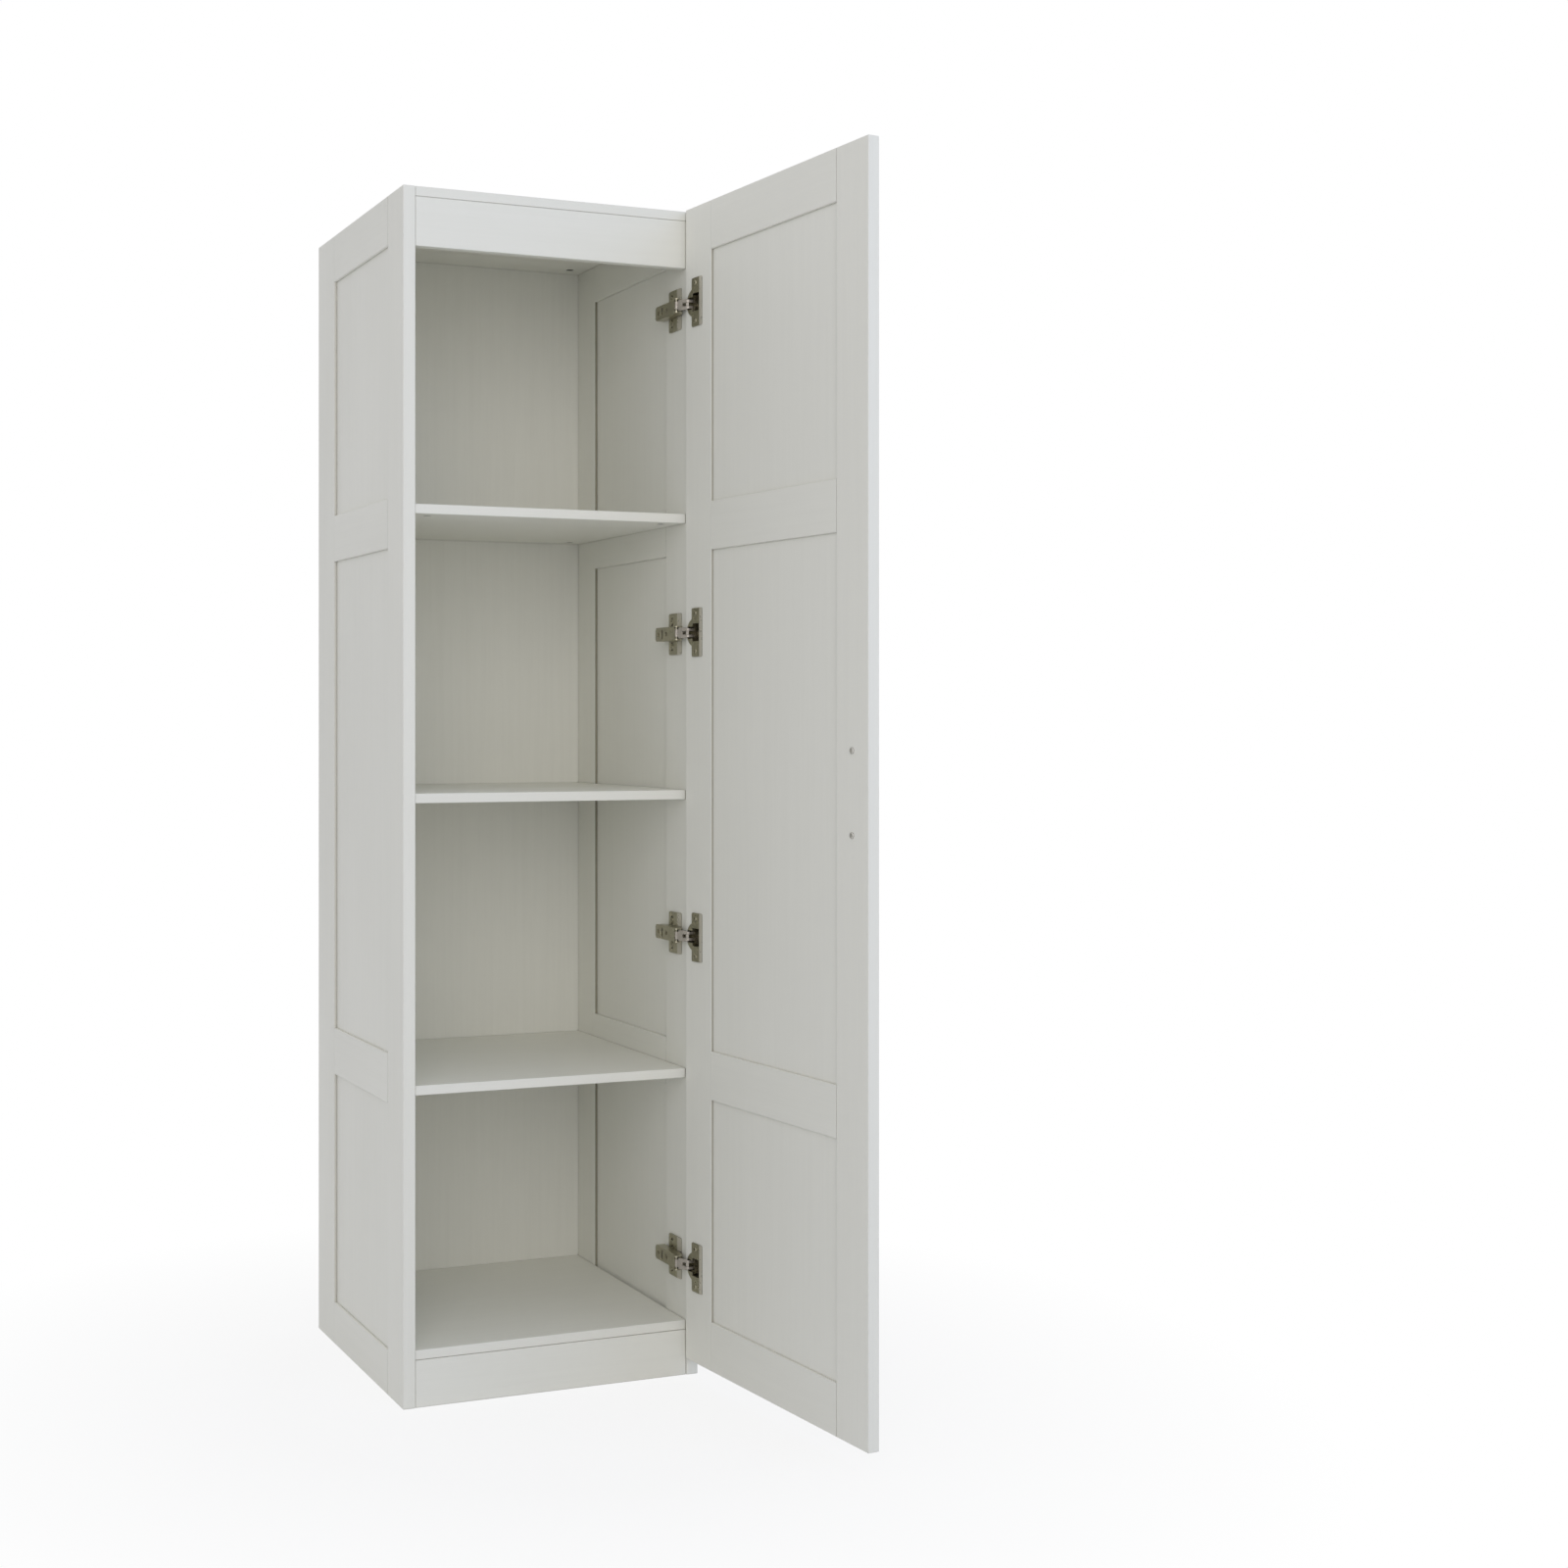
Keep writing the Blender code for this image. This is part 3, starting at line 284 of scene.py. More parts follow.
class CabinetStage(bpy.types.PropertyGroup):
    floor: colour_of("Floor", "Colour of the floor", (0.84, 0.84, 0.84))
    floor_half: length_of("Floor reach", "From the floor's middle to its edge", 14.0)
    floor_rough: share_of("Floor roughness", "Roughness of the floor", 0.9)
    floor_gloss: share_of("Floor gloss", "How strongly the floor reflects", 0.1)
    near_white: share_of("Near white", "How white the floor looks beside the cabinet", 0.84)
    clear_from: length_of("White from", "Where the floor starts to turn all white", 0.35)
    clear_to: length_of("White to", "Where the floor is all white", 0.95)
    sky_tint: colour_of("Sky tint", "Colour of the even light from all round", (0.943, 0.951, 1.0))
    sky: FloatProperty(
        name="Sky", description="Strength of the even light from all round", min=0.0, default=0.603
    )
    front_tint: colour_of("Front tint", "Colour of the large lamp beside the camera", (1.0, 0.966, 0.985))
    front: power_of("Front power", "Power of the large lamp beside the camera", 24.0)
    front_place: place_of("Front place", "Where the large lamp beside the camera hangs", (-1.25, -3.15, 1.9))
    right_tint: colour_of("Right tint", "Colour of the large lamp at the right", (0.45, 0.63, 1.0))
    right: power_of("Right power", "Power of the large lamp at the right", 16.0)
    right_place: place_of("Right place", "Where the large lamp at the right hangs", (1.7, -2.7, 2.4))
    lamp_side: length_of("Lamp size", "Side of a large lamp", 2.2)
    lens: FloatProperty(
        name="Lens", description="Focal length", subtype="DISTANCE_CAMERA", default=48.796
    )
    shift_right: FloatProperty(
        name="Shift right", description="How far the frame is shifted to the right", default=0.1654
    )
    shift_up: FloatProperty(
        name="Shift up", description="How far the frame is shifted upwards", default=-0.0411
    )
    camera_place: place_of("Camera place", "Where the camera stands", (-1.011, -2.483, 0.845))
    camera_turn: FloatProperty(
        name="Camera turn",
        description="How far the level camera is turned from looking along y, counterclockwise",
        subtype="ANGLE",
        default=math.radians(-21.41),
    )


def new_node(tree, kind, settings=None, **inputs):
    """Adds a shader node. A keyword sets the input of that name, or links it when it is given a socket."""
    node = tree.nodes.new(f"ShaderNode{kind}")
    for name, value in (settings or {}).items():
        setattr(node, name, value)
    for name, value in inputs.items():
        feed(tree, value, node.inputs[name.replace("_", " ")])
    return node


def feed(tree, value, socket):
    if isinstance(value, bpy.types.NodeSocket):
        tree.links.new(value, socket)
    elif socket.type == "RGBA" and len(value) == 3:
        socket.default_value = (*value, 1.0)
    else:
        socket.default_value = value


def calculate(tree, operation, first, second=0.0, clamp=False):
    node = tree.nodes.new("ShaderNodeMath")
    node.operation = operation
    node.use_clamp = clamp
    feed(tree, first, node.inputs[0])
    feed(tree, second, node.inputs[1])
    return node.outputs[0]


def blend_colours(tree, share, first, second):
    node = tree.nodes.new("ShaderNodeMix")
    node.data_type = "RGBA"
    feed(tree, share, node.inputs[0])
    feed(tree, first, node.inputs[6])
    feed(tree, second, node.inputs[7])
    return node.outputs[2]


def stretch(tree, value, low, high, to_low=0.0, to_high=1.0):
    node = new_node(tree, "MapRange", Value=value)
    for socket, number in zip(list(node.inputs)[1:5], (low, high, to_low, to_high)):
        feed(tree, number, socket)
    return node.outputs[0]


def spread_about(tree, value, middle, spread):
    """A number that goes from one end of a spread about a middle to the other as a value goes from 0 to 1."""
    return stretch(tree, value, 0.0, 1.0, middle + spread[0], middle + spread[1])


def noise(tree, vector, spacing, detail, rough):
    """Noise whose features are about spacing apart on each axis, in metres."""
    scaled = new_node(tree, "VectorMath", {"operation": "DIVIDE"})
    feed(tree, vector, scaled.inputs[0])
    scaled.inputs[1].default_value = spacing
    pattern = new_node(tree, "TexNoise", Vector=scaled.outputs[0], Scale=1.0, Detail=detail, Roughness=rough)
    return pattern.outputs[0]


def blotches(tree, size):
    """Noise over a piece, with blotches about as large as a size socket says."""
    place = new_node(tree, "TexCoord").outputs["Object"]
    scaled = new_node(tree, "VectorMath", {"operation": "SCALE"})
    tree.links.new(place, scaled.inputs[0])
    tree.links.new(calculate(tree, "DIVIDE", 1.0, size), scaled.inputs["Scale"])
    pattern = new_node(tree, "TexNoise", Vector=scaled.outputs[0], Scale=1.0, Detail=BLOTCH_DETAIL)
    return pattern.outputs[0]


def new_group(name, inputs, outputs):
    """A shader node group with named sockets: its tree, its input sockets and its output node."""
    old = bpy.data.node_groups.get(name)
    if old:
        bpy.data.node_groups.remove(old)
    group = bpy.data.node_groups.new(name, "ShaderNodeTree")
    for socket_name, kind, default in inputs:
        socket = group.interface.new_socket(socket_name, in_out="INPUT", socket_type=f"NodeSocket{kind}")
        if default is not None:
            socket.default_value = default
    for socket_name, kind in outputs:
        group.interface.new_socket(socket_name, in_out="OUTPUT", socket_type=f"NodeSocket{kind}")
    start = group.nodes.new("NodeGroupInput")
    end = group.nodes.new("NodeGroupOutput")
    return group, start.outputs, end.inputs


def use_group(tree, name, **inputs):
    node = tree.nodes.new("ShaderNodeGroup")
    node.node_tree = bpy.data.node_groups[name]
    for socket_name, value in inputs.items():
        feed(tree, value, node.inputs[socket_name.replace("_", " ")])
    return node.outputs


def make_grain_group():
    """Pressed wood grain that runs along its own z: broad streaks, short pores and slow clouds."""
    group, start, end = new_group(
        "wood grain",
        [("Vector", "Vector", None)],
        [(output, "Float") for output in GRAIN_PATTERNS],
    )
    for output, (spacing, detail, rough, band) in GRAIN_PATTERNS.items():
        pattern = noise(group, start["Vector"], spacing, detail, rough)
        group.links.new(stretch(group, pattern, *band), end[output])


def make_edge_group():
    """How much a spot lies on a rubbed outer edge, broken up by noise."""
    group, start, end = new_group(
        "edge wear",
        [("Reach", "Float", 0.001), ("Break up", "Float", 0.02)],
        [("Mask", "Float"), ("Rounded", "Vector")],
    )
    rounded = new_node(group, "Bevel", {"samples": 4}, Radius=start["Reach"])
    flat = new_node(group, "NewGeometry")
    cosine = new_node(group, "VectorMath", {"operation": "DOT_PRODUCT"})
    group.links.new(rounded.outputs[0], cosine.inputs[0])
    group.links.new(flat.outputs["Normal"], cosine.inputs[1])
    turned = stretch(group, cosine.outputs["Value"], *EDGE_TURN)
    worn = stretch(group, blotches(group, start["Break up"]), *WORN_BAND)
    group.links.new(calculate(group, "MULTIPLY", turned, worn, True), end["Mask"])
    group.links.new(rounded.outputs[0], end["Rounded"])


def make_corner_group():
    """How much a spot lies in an inner corner or a joint, by occlusion: the mask for painted shade."""
    group, start, end = new_group("corner dust", [("Reach", "Float", 0.004)], [("Mask", "Float")])
    near = new_node(group, "AmbientOcclusion", {"samples": 6}, Distance=start["Reach"])
    hidden = calculate(group, "SUBTRACT", 1.0, near.outputs["AO"])
    group.links.new(stretch(group, hidden, *CORNER_BAND), end["Mask"])


def make_speckle_group():
    """Fine speckle and soft smears for coated and plated metal."""
    group, start, end = new_group(
        "metal speckle",
        [("Fine", "Float", 0.0006), ("Smear", "Float", 0.008)],
        [("Speckle", "Float"), ("Smears", "Float")],
    )
    for size, output, band in (("Fine", "Speckle", SPECKLE_BAND), ("Smear", "Smears", SMEAR_BAND)):
        group.links.new(stretch(group, blotches(group, start[size]), *band), end[output])


def new_material(name):
    """A material with an empty tree but for its Principled shader and output."""
    old = bpy.data.materials.get(name)
    if old:
        bpy.data.materials.remove(old)
    material = bpy.data.materials.new(name)
    material.use_nodes = True
    tree = material.node_tree
    return material, tree, tree.nodes["Principled BSDF"]


def dress(node_name, material):
    """Gives a piece of the frame its finish."""
    for slot in frame["nodes"][node_name].material_slots:
        slot.material = material


def grain_direction(name):
    """Which way the grain runs on a board."""
    crosswise = name.endswith("_rail")
    if name.startswith("door_"):
        return DOOR_ACROSS if crosswise else UP
    if "_side_" in name:
        return ALONG_Y if crosswise else UP
    return UP if name == "back_panel" else ALONG_X


def joint_edge(name):
    """Which way a stile's edge at the panels faces, and its shares of the painted shade on that step inside and
    outside.
    """
    edges = {
        "door_hinge_stile": (DOOR_ACROSS, 0.68, 0.68),
        "door_handle_stile": (-DOOR_ACROSS, 0.60, 0.60),
        "left_side_front_stile": (ALONG_Y, 0.4, 0.1),
        "left_side_back_stile": (-ALONG_Y, 1.0, 0.35),
        "right_side_front_stile": (ALONG_Y, 0.4, 0.1),
        "right_side_back_stile": (-ALONG_Y, 1.0, 0.35),
    }
    return edges.get(name, (UP, 0.0, 0.0))


def inner_half(tree, name):
    """Which half of a side's board looks into the cabinet: 1 there and 0 on the outside."""
    low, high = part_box(name)
    middle = (low.x + high.x) / 2
    place = new_node(tree, "SeparateXYZ", Vector=new_node(tree, "TexCoord").outputs["Object"])
    return calculate(tree, "LESS_THAN" if middle > 0 else "GREATER_THAN", place.outputs["X"], middle)


def facing(tree, way, low, high):
    """How much a spot of the piece itself faces one way, from none at one cosine to all at another."""
    turned = new_node(tree, "VectorMath", {"operation": "DOT_PRODUCT"})
    tree.links.new(new_node(tree, "TexCoord").outputs["Normal"], turned.inputs[0])
    turned.inputs[1].default_value = way
    return stretch(tree, turned.outputs["Value"], low, high)


def board_material(name, look, colour, clear, number):
    """Painted board with pressed grain as clear as asked, rubbed edges, and painted shade in its corners and
    joints and on the steps round the panels.
    """
    material, tree, shader = new_material(f"paint {name}")
    place = new_node(tree, "TexCoord").outputs["Object"]
    laid = new_node(tree, "Mapping", Vector=place)
    laid.inputs["Rotation"].default_value = grain_direction(name).rotation_difference(UP).to_euler("XYZ")
    laid.inputs["Location"].default_value = tuple(shift * number for shift in GRAIN_SHIFT)
    grain = use_group(tree, "wood grain", Vector=laid.outputs[0])
    edge = use_group(tree, "edge wear", Reach=look.edge_reach, Break_up=WORN_PATCH)
    corner = use_group(tree, "corner dust", Reach=look.joint_reach)

    streaked = calculate(tree, "MULTIPLY", grain["Streaks"], clear)
    colour = blend_colours(tree, streaked, colour, look.streak)
    pored = calculate(tree, "MULTIPLY", grain["Pores"], clear * PORE_SHARE)
    colour = blend_colours(tree, pored, colour, look.streak)
    worn = calculate(tree, "MULTIPLY", edge["Mask"], WORN_SHARE)
    colour = blend_colours(tree, worn, colour, look.worn)
    # Painted shade in corners and joints.
    shade_share = calculate(tree, "MULTIPLY", corner["Mask"], look.shade_share)
    # Painted shade on the stile's step down to the panel, with its own shares inside and outside the cabinet.
    way, inside, outside = joint_edge(name)
    if inside:
        shares = (look.shade * outside, look.shade * inside)
        share = stretch(tree, inner_half(tree, name), 0.0, 1.0, *shares)
        shaded = calculate(tree, "MULTIPLY", facing(tree, way, *JOINT_TURN), share)
        shade_share = calculate(tree, "MAXIMUM", shade_share, shaded)
    tree.links.new(blend_colours(tree, shade_share, colour, look.shade_tone), shader.inputs["Base Color"])

    rough = spread_about(tree, grain["Clouds"], look.rough, BOARD_ROUGH_SPREAD)
    rough = calculate(tree, "ADD", rough, calculate(tree, "MULTIPLY", grain["Pores"], PORE_ROUGH))
    tree.links.new(rough, shader.inputs["Roughness"])
    shader.inputs["Specular IOR Level"].default_value = look.gloss

    height = calculate(tree, "MULTIPLY", grain["Pores"], PORE_RISE)
    sunk = calculate(tree, "MULTIPLY", grain["Streaks"], STREAK_SINK)
    height = calculate(tree, "SUBTRACT", height, sunk)
    bump = new_node(tree, "Bump", Height=height, Distance=look.relief, Strength=BOARD_BUMP)
    tree.links.new(edge["Rounded"], bump.inputs["Normal"])
    tree.links.new(bump.outputs[0], shader.inputs["Normal"])
    return material


def metal_material(
    name, colour, shade_tint, rough, reach, fine=METAL_SPECKLE, flat=None, strip=None, deep=0.0, screws_from=None
):
    """Plated or cast metal: speckle and smears, brighter edges, and painted shade that reaches out of the corners.

    Where a stamped piece slopes a little off the way that its flat face looks, it takes the strip's colour as a
    painted highlight and is satin. Painted shade darkens it inside hollows as wide as deep, and on the screws that
    stand out into the cabinet past screws_from on x.
    """
    material, tree, shader = new_material(name)
    speckle = use_group(tree, "metal speckle", Fine=fine, Smear=METAL_SMEAR)
    edge = use_group(tree, "edge wear", Reach=METAL_EDGE, Break_up=METAL_PATCH)
    corner = use_group(tree, "corner dust", Reach=reach)
    bright = tuple(min(1.0, BRIGHT_SHARE * part) for part in colour)
    dull = tuple(DULL_SHARE * part for part in colour)
    smeared = calculate(tree, "MULTIPLY", speckle["Smears"], SMEAR_SHARE)
    body = blend_colours(tree, smeared, colour, dull)
    body = blend_colours(tree, edge["Mask"], body, bright)
    # Painted shade in corners.
    shade_mask = calculate(tree, "MULTIPLY", corner["Mask"], CORNER_SHADE_SHARE)
    # Painted highlight: the sloped strips take a brighter colour and are less metallic.
    if strip:
        turned = facing(tree, flat, *STRIP_TURN)
        sloped_highlight = calculate(tree, "MULTIPLY", turned, facing(tree, flat, *FLAT_TURN))
        body = blend_colours(tree, sloped_highlight, body, strip)
        tree.links.new(stretch(tree, sloped_highlight, 0.0, 1.0, 1.0, STRIP_METALLIC), shader.inputs["Metallic"])
    else:
        shader.inputs["Metallic"].default_value = 1.0
    # Painted shade inside hollows.
    if deep:
        hollow = use_group(tree, "corner dust", Reach=deep)
        inside = stretch(tree, hollow["Mask"], *HOLLOW_BAND)
        shade_mask = calculate(tree, "MAXIMUM", shade_mask, calculate(tree, "MULTIPLY", inside, HOLLOW_SHADE_SHARE))
    # Painted shade on the screws past screws_from.
    if screws_from:
        place = new_node(tree, "SeparateXYZ", Vector=new_node(tree, "TexCoord").outputs["Object"])
        raised = calculate(tree, "LESS_THAN", place.outputs["X"], screws_from)
        shade_mask = calculate(tree, "MAXIMUM", shade_mask, calculate(tree, "MULTIPLY", raised, SCREW_SHADE_SHARE))
    tree.links.new(blend_colours(tree, shade_mask, body, shade_tint), shader.inputs["Base Color"])
    smooth = spread_about(tree, speckle["Smears"], rough, METAL_ROUGH_SPREAD)
    dulled = calculate(tree, "MULTIPLY", corner["Mask"], CORNER_ROUGH)
    tree.links.new(calculate(tree, "ADD", smooth, dulled), shader.inputs["Roughness"])
    bump = new_node(tree, "Bump", Height=speckle["Speckle"], Distance=METAL_RELIEF, Strength=METAL_BUMP)
    tree.links.new(edge["Rounded"], bump.inputs["Normal"])
    tree.links.new(bump.outputs[0], shader.inputs["Normal"])
    return material


def coated_material(look):
    """Satin black powder coat with a fine orange-peel skin and edges polished by hands."""
    material, tree, shader = new_material("black coat")
    speckle = use_group(tree, "metal speckle", Fine=COAT_SPECKLE, Smear=COAT_SMEAR)
    edge = use_group(tree, "edge wear", Reach=COAT_EDGE, Break_up=COAT_PATCH)
    polished = calculate(tree, "MULTIPLY", edge["Mask"], COAT_RUBBED_SHARE)
    colour = blend_colours(tree, polished, look.black, look.rubbed)
    smeared = calculate(tree, "MULTIPLY", speckle["Smears"], COAT_SMEAR_SHARE)
    tree.links.new(blend_colours(tree, smeared, colour, look.rubbed), shader.inputs["Base Color"])
    rough = spread_about(tree, speckle["Smears"], look.rough, COAT_ROUGH_SPREAD)
    tree.links.new(rough, shader.inputs["Roughness"])
    bump = new_node(tree, "Bump", Height=speckle["Speckle"], Distance=COAT_RELIEF, Strength=COAT_BUMP)
    tree.links.new(bump.outputs[0], shader.inputs["Normal"])
    return material


def mesh_piece(name, shape, body, material):
    """A new piece from a closed bmesh, riding on a body and taking its finish from a slot."""
    bmesh.ops.recalc_face_normals(shape, faces=shape.faces)
    mesh = bpy.data.meshes.new(name)
    shape.to_mesh(mesh)
    shape.free()
    piece = bpy.data.objects.new(name, mesh)
    bpy.context.scene.collection.objects.link(piece)
    piece.data.materials.append(material)
    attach(piece, body)
    return piece


def loft(shape, rings, smooth=True):
    """Joins rings of points into a closed skin with flat ends."""
    loops = [[shape.verts.new(point) for point in ring] for ring in rings]
    shape.faces.new(loops[0])
    shape.faces.new(reversed(loops[-1]))
    for one, two in zip(loops, loops[1:]):
        for i in range(len(one)):
            j = (i + 1) % len(one)
            shape.faces.new((one[i], one[j], two[j], two[i])).smooth = smooth


def eased(values, share):
    """A point on a smooth curve through four values, between the middle two."""
    a, b, c, d = values
    return b + 0.5 * share * (c - a + share * (2 * a - 5 * b + 4 * c - d + share * (3 * (b - c) + d - a)))


def handle_stations():
    """The handle's table drawn finer, from one end to the other."""
    table = [(-a, b, c, d) for a, b, c, d in reversed(HANDLE_SHARES[1:])] + list(HANDLE_SHARES)
    stations = []
    for k in range(len(table) - 1):
        near = [table[max(0, min(len(table) - 1, k + shift))] for shift in (-1, 0, 1, 2)]
        for step in range(HANDLE_STEPS):
            stations.append([eased(column, step / HANDLE_STEPS) for column in zip(*near)])
    stations.append(list(table[-1]))
    return [(a, max(0.0, b), c, d) for a, b, c, d in stations]


class CABINET_OT_boards(bpy.types.Operator):
    """Paint the boards, each with its own run of grain"""

    bl_idname = "cabinet.boards"
    bl_label = "Painted boards"

    def execute(self, context):
        look = context.scene.cabinet_boards
        painted = [s["node"] for s in frame["record"]["subparts"] if s["material_slot"] == "paint"]
        for number, name in enumerate(painted):
            dress(name, board_material(name, look, look.paint, look.grain, number))
        last = board_material("back_panel", look, look.back, look.back_grain, len(painted))
        dress("back_panel", last)
        return {"FINISHED"}


class CABINET_OT_hinges(bpy.types.Operator):
    """Plate the hinges and the handle's screws"""

    bl_idname = "cabinet.hinges"
    bl_label = "Hinge metal"

    def execute(self, context):
        look = context.scene.cabinet_metal
        nickel = (tuple(look.nickel), look.shade_tint, look.rough, look.reach)
        link = metal_material("bright plate", tuple(look.link), look.shade_tint, look.rough, look.link_reach)
        screw = metal_material("screw plate", tuple(look.screw), look.shade_tint, look.rough, look.link_reach)
        finishes = {
            "plate": metal_material(
                "nickel plate",
                *nickel,
                flat=-ALONG_X,
                strip=look.strip,
                deep=look.hole,
                screws_from=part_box("hinge_1_arm")[0].x + look.hole,
            ),
            "arm": metal_material("nickel arm", *nickel),
            "cup": metal_material("nickel cup", *nickel, flat=-DOOR_OUT, strip=look.strip, deep=look.hollow),
            "outer_link": link,
            "inner_link": link,
        }
        for subpart in frame["record"]["subparts"]:
            name = subpart["node"]
            if name.startswith("hinge_"):
                dress(name, finishes[name.split("_", 2)[2]])
            elif subpart["material_slot"] == "screw":
                dress(name, screw)
        return {"FINISHED"}


class CABINET_OT_cams(bpy.types.Operator):
    """Set a cast cam in each bore under the boards"""

    bl_idname = "cabinet.cams"
    bl_label = "Cam fittings"

    def execute(self, context):
        look = context.scene.cabinet_cams
        metal = context.scene.cabinet_metal
        # The cams take painted shade in their corners too.
        zinc = (tuple(look.zinc), metal.shade_tint, look.rough, metal.reach)
        cast = metal_material("cast zinc", *zinc, fine=look.speckle)
        for board in ("top_board", "shelf_high", "shelf_middle", "shelf_low", "bottom_board"):
            low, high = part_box(board)
            ends = (low.x + look.inset_x, high.x - look.inset_x)
            places = [(x, y) for x in ends for y in (look.front, look.rear)]
            for number, (x, y) in enumerate(places, 1):
                self.make(f"cam_{board}_{number}", Vector((x, y, low.z + look.sunk)), look, cast)
        return {"FINISHED"}

    def make(self, name, face, look, material):
        """A turned body with a rim round its face and a cross pressed into it."""
        radius = look.across / 2
        rim = radius * CAM_RIM_SHARE
        dish = radius * CAM_DISH_SHARE
        chamfer = radius * CAM_CHAMFER_SHARE
        profile = (
            (look.tall, radius * CAM_NECK_SHARE),
            (look.tall, radius),
            (chamfer, radius),
            (0.0, radius - chamfer),
            (0.0, rim),
            (dish, rim - dish),
        )
        angles = [TURN * i / look.facets for i in range(look.facets)]
        rings = [
            [face + Vector((reach * math.cos(angle), reach * math.sin(angle), rise)) for angle in angles]
            for rise, reach in profile
        ]
        shape = bmesh.new()
        loft(shape, rings, smooth=False)
        piece = mesh_piece(name, shape, "cabinet", material)
        carve(piece, self.cross(face, radius, dish))

    def cross(self, face, radius, dish):
        """The cross that is pressed into the dish of a cam's face, narrower at its floor."""
        long = radius * CROSS_LONG_SHARE
        wide = radius * CROSS_WIDE_SHARE
        deep = radius * CROSS_DEEP_SHARE
        quarter = ((long, -wide), (long, wide), (wide, wide))
        outline = [
            Vector((x * c - y * d, x * d + y * c))
            for c, d in ((1, 0), (0, 1), (-1, 0), (0, -1))
            for x, y in quarter
        ]
        ends = [
            [face + Vector((point.x * taper, point.y * taper, rise)) for point in outline]
            for rise, taper in ((-dish, 1.0), (dish + deep, CROSS_TAPER))
        ]
        shape = bmesh.new()
        loft(shape, ends, smooth=False)
        bmesh.ops.recalc_face_normals(shape, faces=shape.faces)
        return shape


def carve(piece, shape):
    """Cuts a closed bmesh out of a piece and keeps the result as its mesh."""
    mesh = bpy.data.meshes.new("cutter")
    shape.to_mesh(mesh)
    shape.free()
    cutter = bpy.data.objects.new("cutter", mesh)
    bpy.context.scene.collection.objects.link(cutter)
    change = piece.modifiers.new("cut", "BOOLEAN")
    change.operation = "DIFFERENCE"
    change.solver = "EXACT"
    change.object = cutter
    bpy.context.view_layer.update()
    graph = bpy.context.evaluated_depsgraph_get()
    made = bpy.data.meshes.new_from_object(piece.evaluated_get(graph))
    piece.modifiers.clear()
    old = piece.data
    piece.data = made
    bpy.data.meshes.remove(old)
    bpy.data.objects.remove(cutter)
    bpy.data.meshes.remove(mesh)


class CABINET_OT_handle(bpy.types.Operator):
    """Loft the bow handle finer than the frame's and coat it black"""

    bl_idname = "cabinet.handle"
    bl_label = "Bow handle"

    def execute(self, context):
        look = context.scene.cabinet_handle
        turn = Matrix((DOOR_ACROSS, DOOR_OUT, UP))
        points = [turn @ vertex.co for vertex in frame["nodes"]["handle"].data.vertices]
        low = Vector(min(p[i] for p in points) for i in range(3))
        high = Vector(max(p[i] for p in points) for i in range(3))
        size = high - low
        middle = (low + high) / 2
        section = self.section(look.facets)
        rings = []
        for along, under, over, wide in handle_stations():
            ring = []
            for side, rise in section:
                local = Vector((
                    middle.x + side * wide * size.x / 2,
                    low.y + ((under + over) / 2 + rise * (over - under) / 2) * size.y,
                    middle.z + along * size.z / 2,
                ))
                ring.append(turn.transposed() @ local)
            rings.append(ring)
        shape = bmesh.new()
        loft(shape, rings)
        piece = mesh_piece("bow_handle", shape, "door", coated_material(look))
        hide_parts("handle")
        return {"FINISHED"}

    def section(self, facets):
        """Points round a rounded rectangle, 1 from its middle to each side."""
        angles = [TURN * (i + 0.5) / facets for i in range(facets)]
        waves = [(math.cos(angle), math.sin(angle)) for angle in angles]
        return [tuple(math.copysign(abs(wave) ** SECTION_POWER, wave) for wave in pair) for pair in waves]


def background_rays(tree):
    """1 for the rays that show the background: the camera's, those off gloss and those through glass."""
    path = new_node(tree, "LightPath").outputs
    seen = calculate(tree, "MAXIMUM", path["Is Camera Ray"], path["Is Glossy Ray"])
    return calculate(tree, "MAXIMUM", seen, path["Is Transmission Ray"])


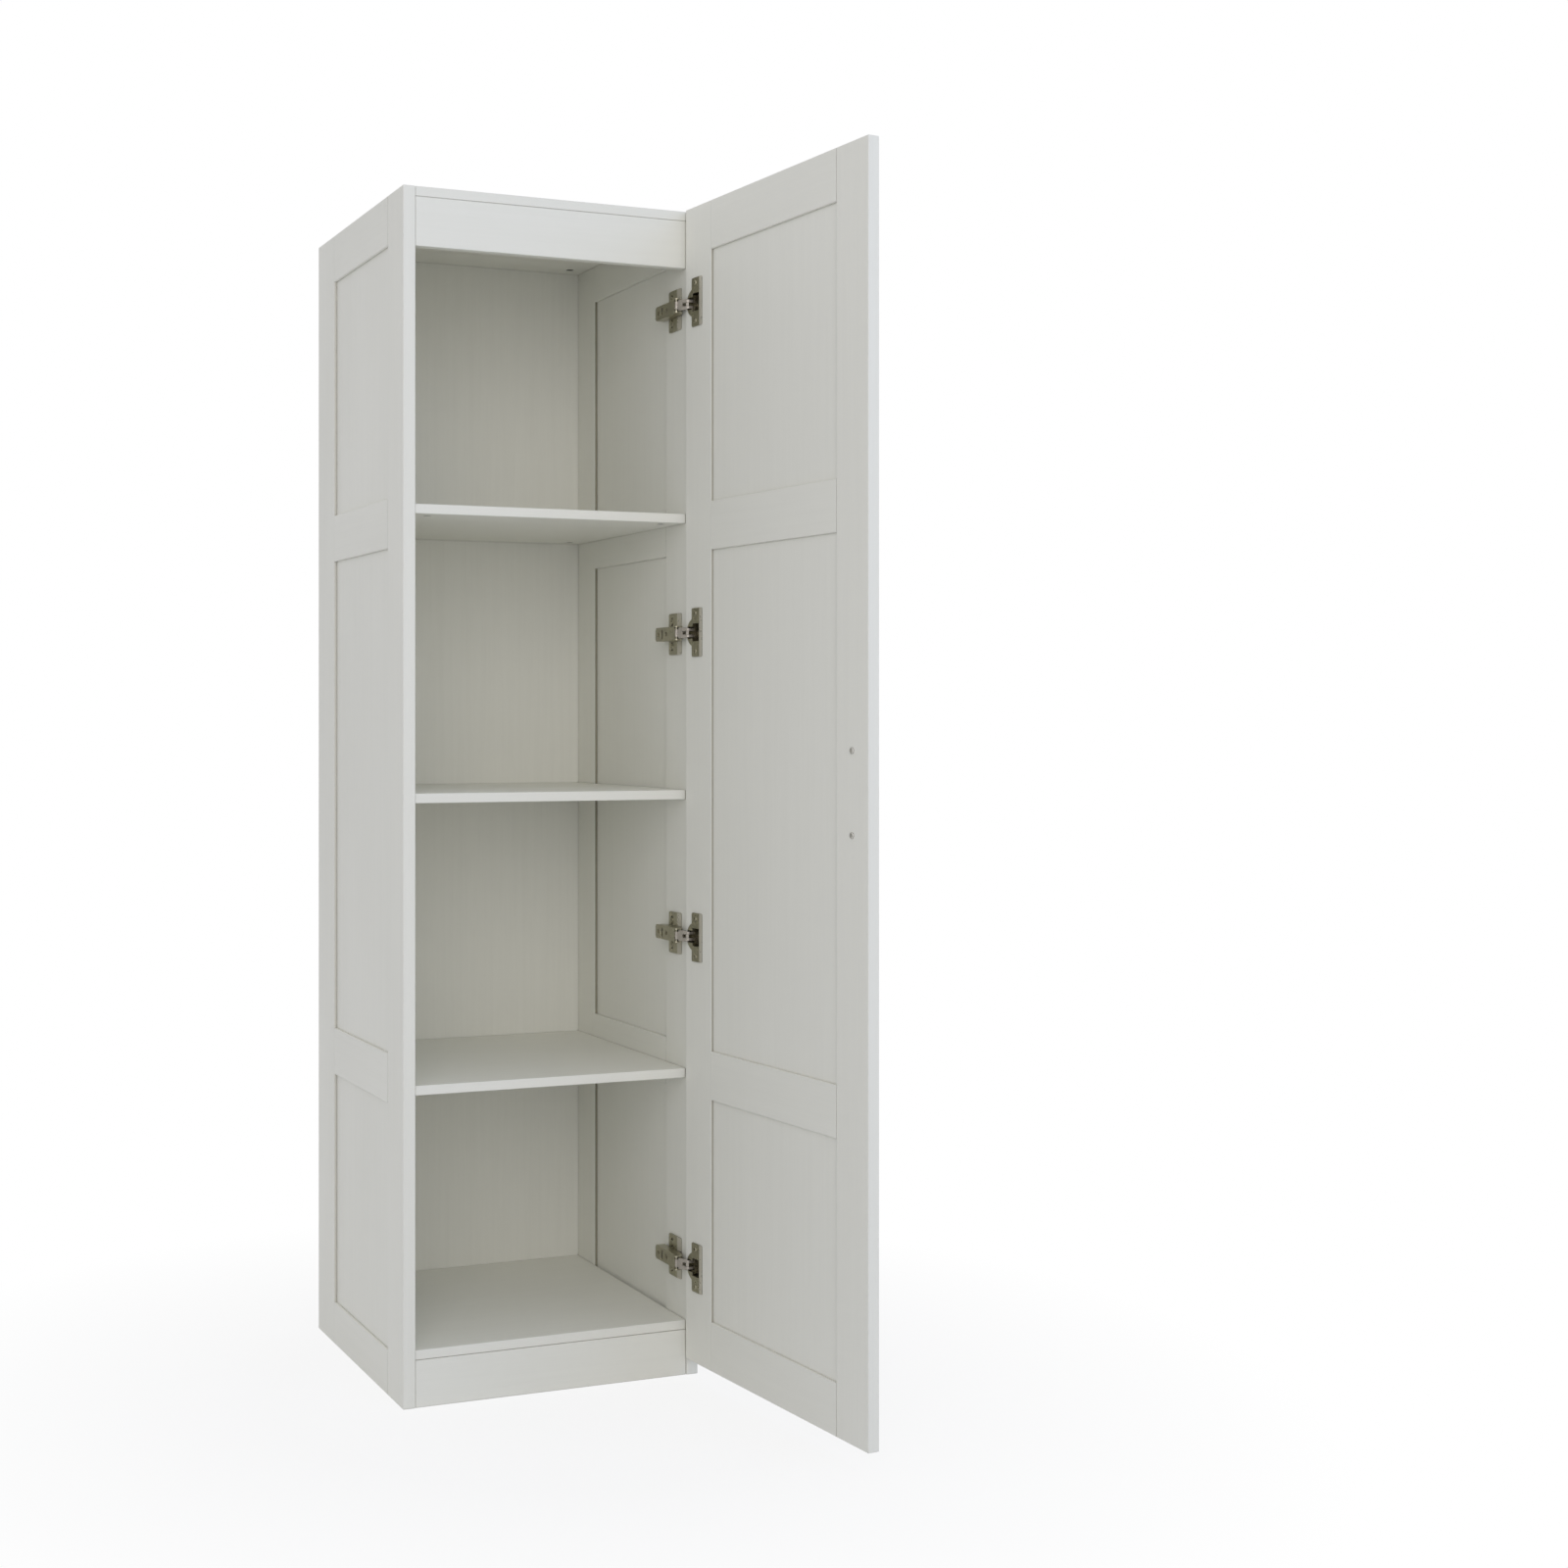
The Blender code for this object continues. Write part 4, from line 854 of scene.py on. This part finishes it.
class CABINET_OT_stage(bpy.types.Operator):
    """Lay the pale floor, hang the soft lights and stand the camera where the photograph was taken"""

    bl_idname = "cabinet.stage"
    bl_label = "Stage"

    def execute(self, context):
        look = context.scene.cabinet_stage
        self.lay_floor(look)
        self.light(context, look)
        self.stand_camera(context, look)
        context.scene.view_settings.view_transform = "Standard"
        return {"FINISHED"}

    def lay_floor(self, look):
        shape = bmesh.new()
        bmesh.ops.create_grid(shape, x_segments=2, y_segments=2, size=look.floor_half)
        mesh = bpy.data.meshes.new("floor")
        shape.to_mesh(mesh)
        shape.free()
        floor = bpy.data.objects.new("floor", mesh)
        bpy.context.scene.collection.objects.link(floor)
        material, tree, shader = new_material("pale floor")
        shader.inputs["Base Color"].default_value = (*look.floor, 1.0)
        shader.inputs["Roughness"].default_value = look.floor_rough
        shader.inputs["Specular IOR Level"].default_value = look.floor_gloss
        place = new_node(tree, "TexCoord").outputs["Object"]
        away = new_node(tree, "VectorMath", {"operation": "LENGTH"})
        tree.links.new(place, away.inputs[0])
        far = stretch(tree, away.outputs["Value"], look.clear_from, look.clear_to, look.near_white, 1.0)
        white = new_node(tree, "Emission", Color=(1.0, 1.0, 1.0), Strength=1.0)
        share = calculate(tree, "MULTIPLY", far, background_rays(tree))
        mixed = new_node(tree, "MixShader", Fac=share)
        tree.links.new(shader.outputs[0], mixed.inputs[1])
        tree.links.new(white.outputs[0], mixed.inputs[2])
        tree.links.new(mixed.outputs[0], tree.nodes["Material Output"].inputs["Surface"])
        floor.data.materials.append(material)

    def light(self, context, look):
        world = bpy.data.worlds.new("soft room")
        context.scene.world = world
        world.use_nodes = True
        tree = world.node_tree
        back = tree.nodes["Background"]
        back.inputs["Color"].default_value = (*look.sky_tint, 1.0)
        back.inputs["Strength"].default_value = look.sky
        white = new_node(tree, "Background", Color=(1.0, 1.0, 1.0), Strength=1.0)
        mixed = new_node(tree, "MixShader", Fac=background_rays(tree))
        tree.links.new(back.outputs[0], mixed.inputs[1])
        tree.links.new(white.outputs[0], mixed.inputs[2])
        tree.links.new(mixed.outputs[0], tree.nodes["World Output"].inputs["Surface"])
        for name in ("front", "right"):
            lamp = bpy.data.lights.new(f"{name} lamp", "AREA")
            lamp.energy = getattr(look, name)
            lamp.size = look.lamp_side
            lamp.color = getattr(look, f"{name}_tint")
            holder = bpy.data.objects.new(f"{name} lamp", lamp)
            holder.location = getattr(look, f"{name}_place")
            aim = UP * CAD_BOX[1][2] / 2 - holder.location
            holder.rotation_euler = aim.to_track_quat("-Z", "Y").to_euler()
            context.scene.collection.objects.link(holder)

    def stand_camera(self, context, look):
        lens = bpy.data.cameras.new("camera")
        lens.sensor_width = SENSOR_WIDE
        lens.lens = look.lens
        lens.shift_x = look.shift_right
        lens.shift_y = look.shift_up
        camera = bpy.data.objects.new("camera", lens)
        camera.location = look.camera_place
        camera.rotation_euler = (math.radians(90), 0.0, look.camera_turn)
        context.scene.collection.objects.link(camera)
        context.scene.camera = camera


class CABINET_PT_sidebar(bpy.types.Panel):
    bl_idname = "CABINET_PT_sidebar"
    bl_label = "Tall storage cabinet"
    bl_space_type = "VIEW_3D"
    bl_region_type = "UI"
    bl_category = "Cabinet"

    def draw(self, context):
        scene = context.scene
        for operator, group in STEPS:
            column = self.layout.column(align=True)
            column.operator(operator.bl_idname)
            look = getattr(scene, group)
            for name in look.__annotations__:
                column.prop(look, name)


GROUPS = {
    "cabinet_boards": CabinetBoards,
    "cabinet_metal": CabinetMetal,
    "cabinet_cams": CabinetCams,
    "cabinet_handle": CabinetHandle,
    "cabinet_stage": CabinetStage,
}
STEPS = (
    (CABINET_OT_stage, "cabinet_stage"),
    (CABINET_OT_boards, "cabinet_boards"),
    (CABINET_OT_hinges, "cabinet_metal"),
    (CABINET_OT_cams, "cabinet_cams"),
    (CABINET_OT_handle, "cabinet_handle"),
)
CLASSES = (*GROUPS.values(), *(operator for operator, group in STEPS), CABINET_PT_sidebar)


def register():
    for item in CLASSES:
        bpy.utils.register_class(item)
    for name, group in GROUPS.items():
        setattr(bpy.types.Scene, name, PointerProperty(type=group))


def unregister():
    for name in GROUPS:
        delattr(bpy.types.Scene, name)
    for item in reversed(CLASSES):
        bpy.utils.unregister_class(item)


def main():
    register()
    make_grain_group()
    make_edge_group()
    make_corner_group()
    make_speckle_group()
    bpy.ops.cabinet.stage()
    bpy.ops.cabinet.boards()
    bpy.ops.cabinet.hinges()
    bpy.ops.cabinet.cams()
    bpy.ops.cabinet.handle()


if __name__ == "__main__":
    main()
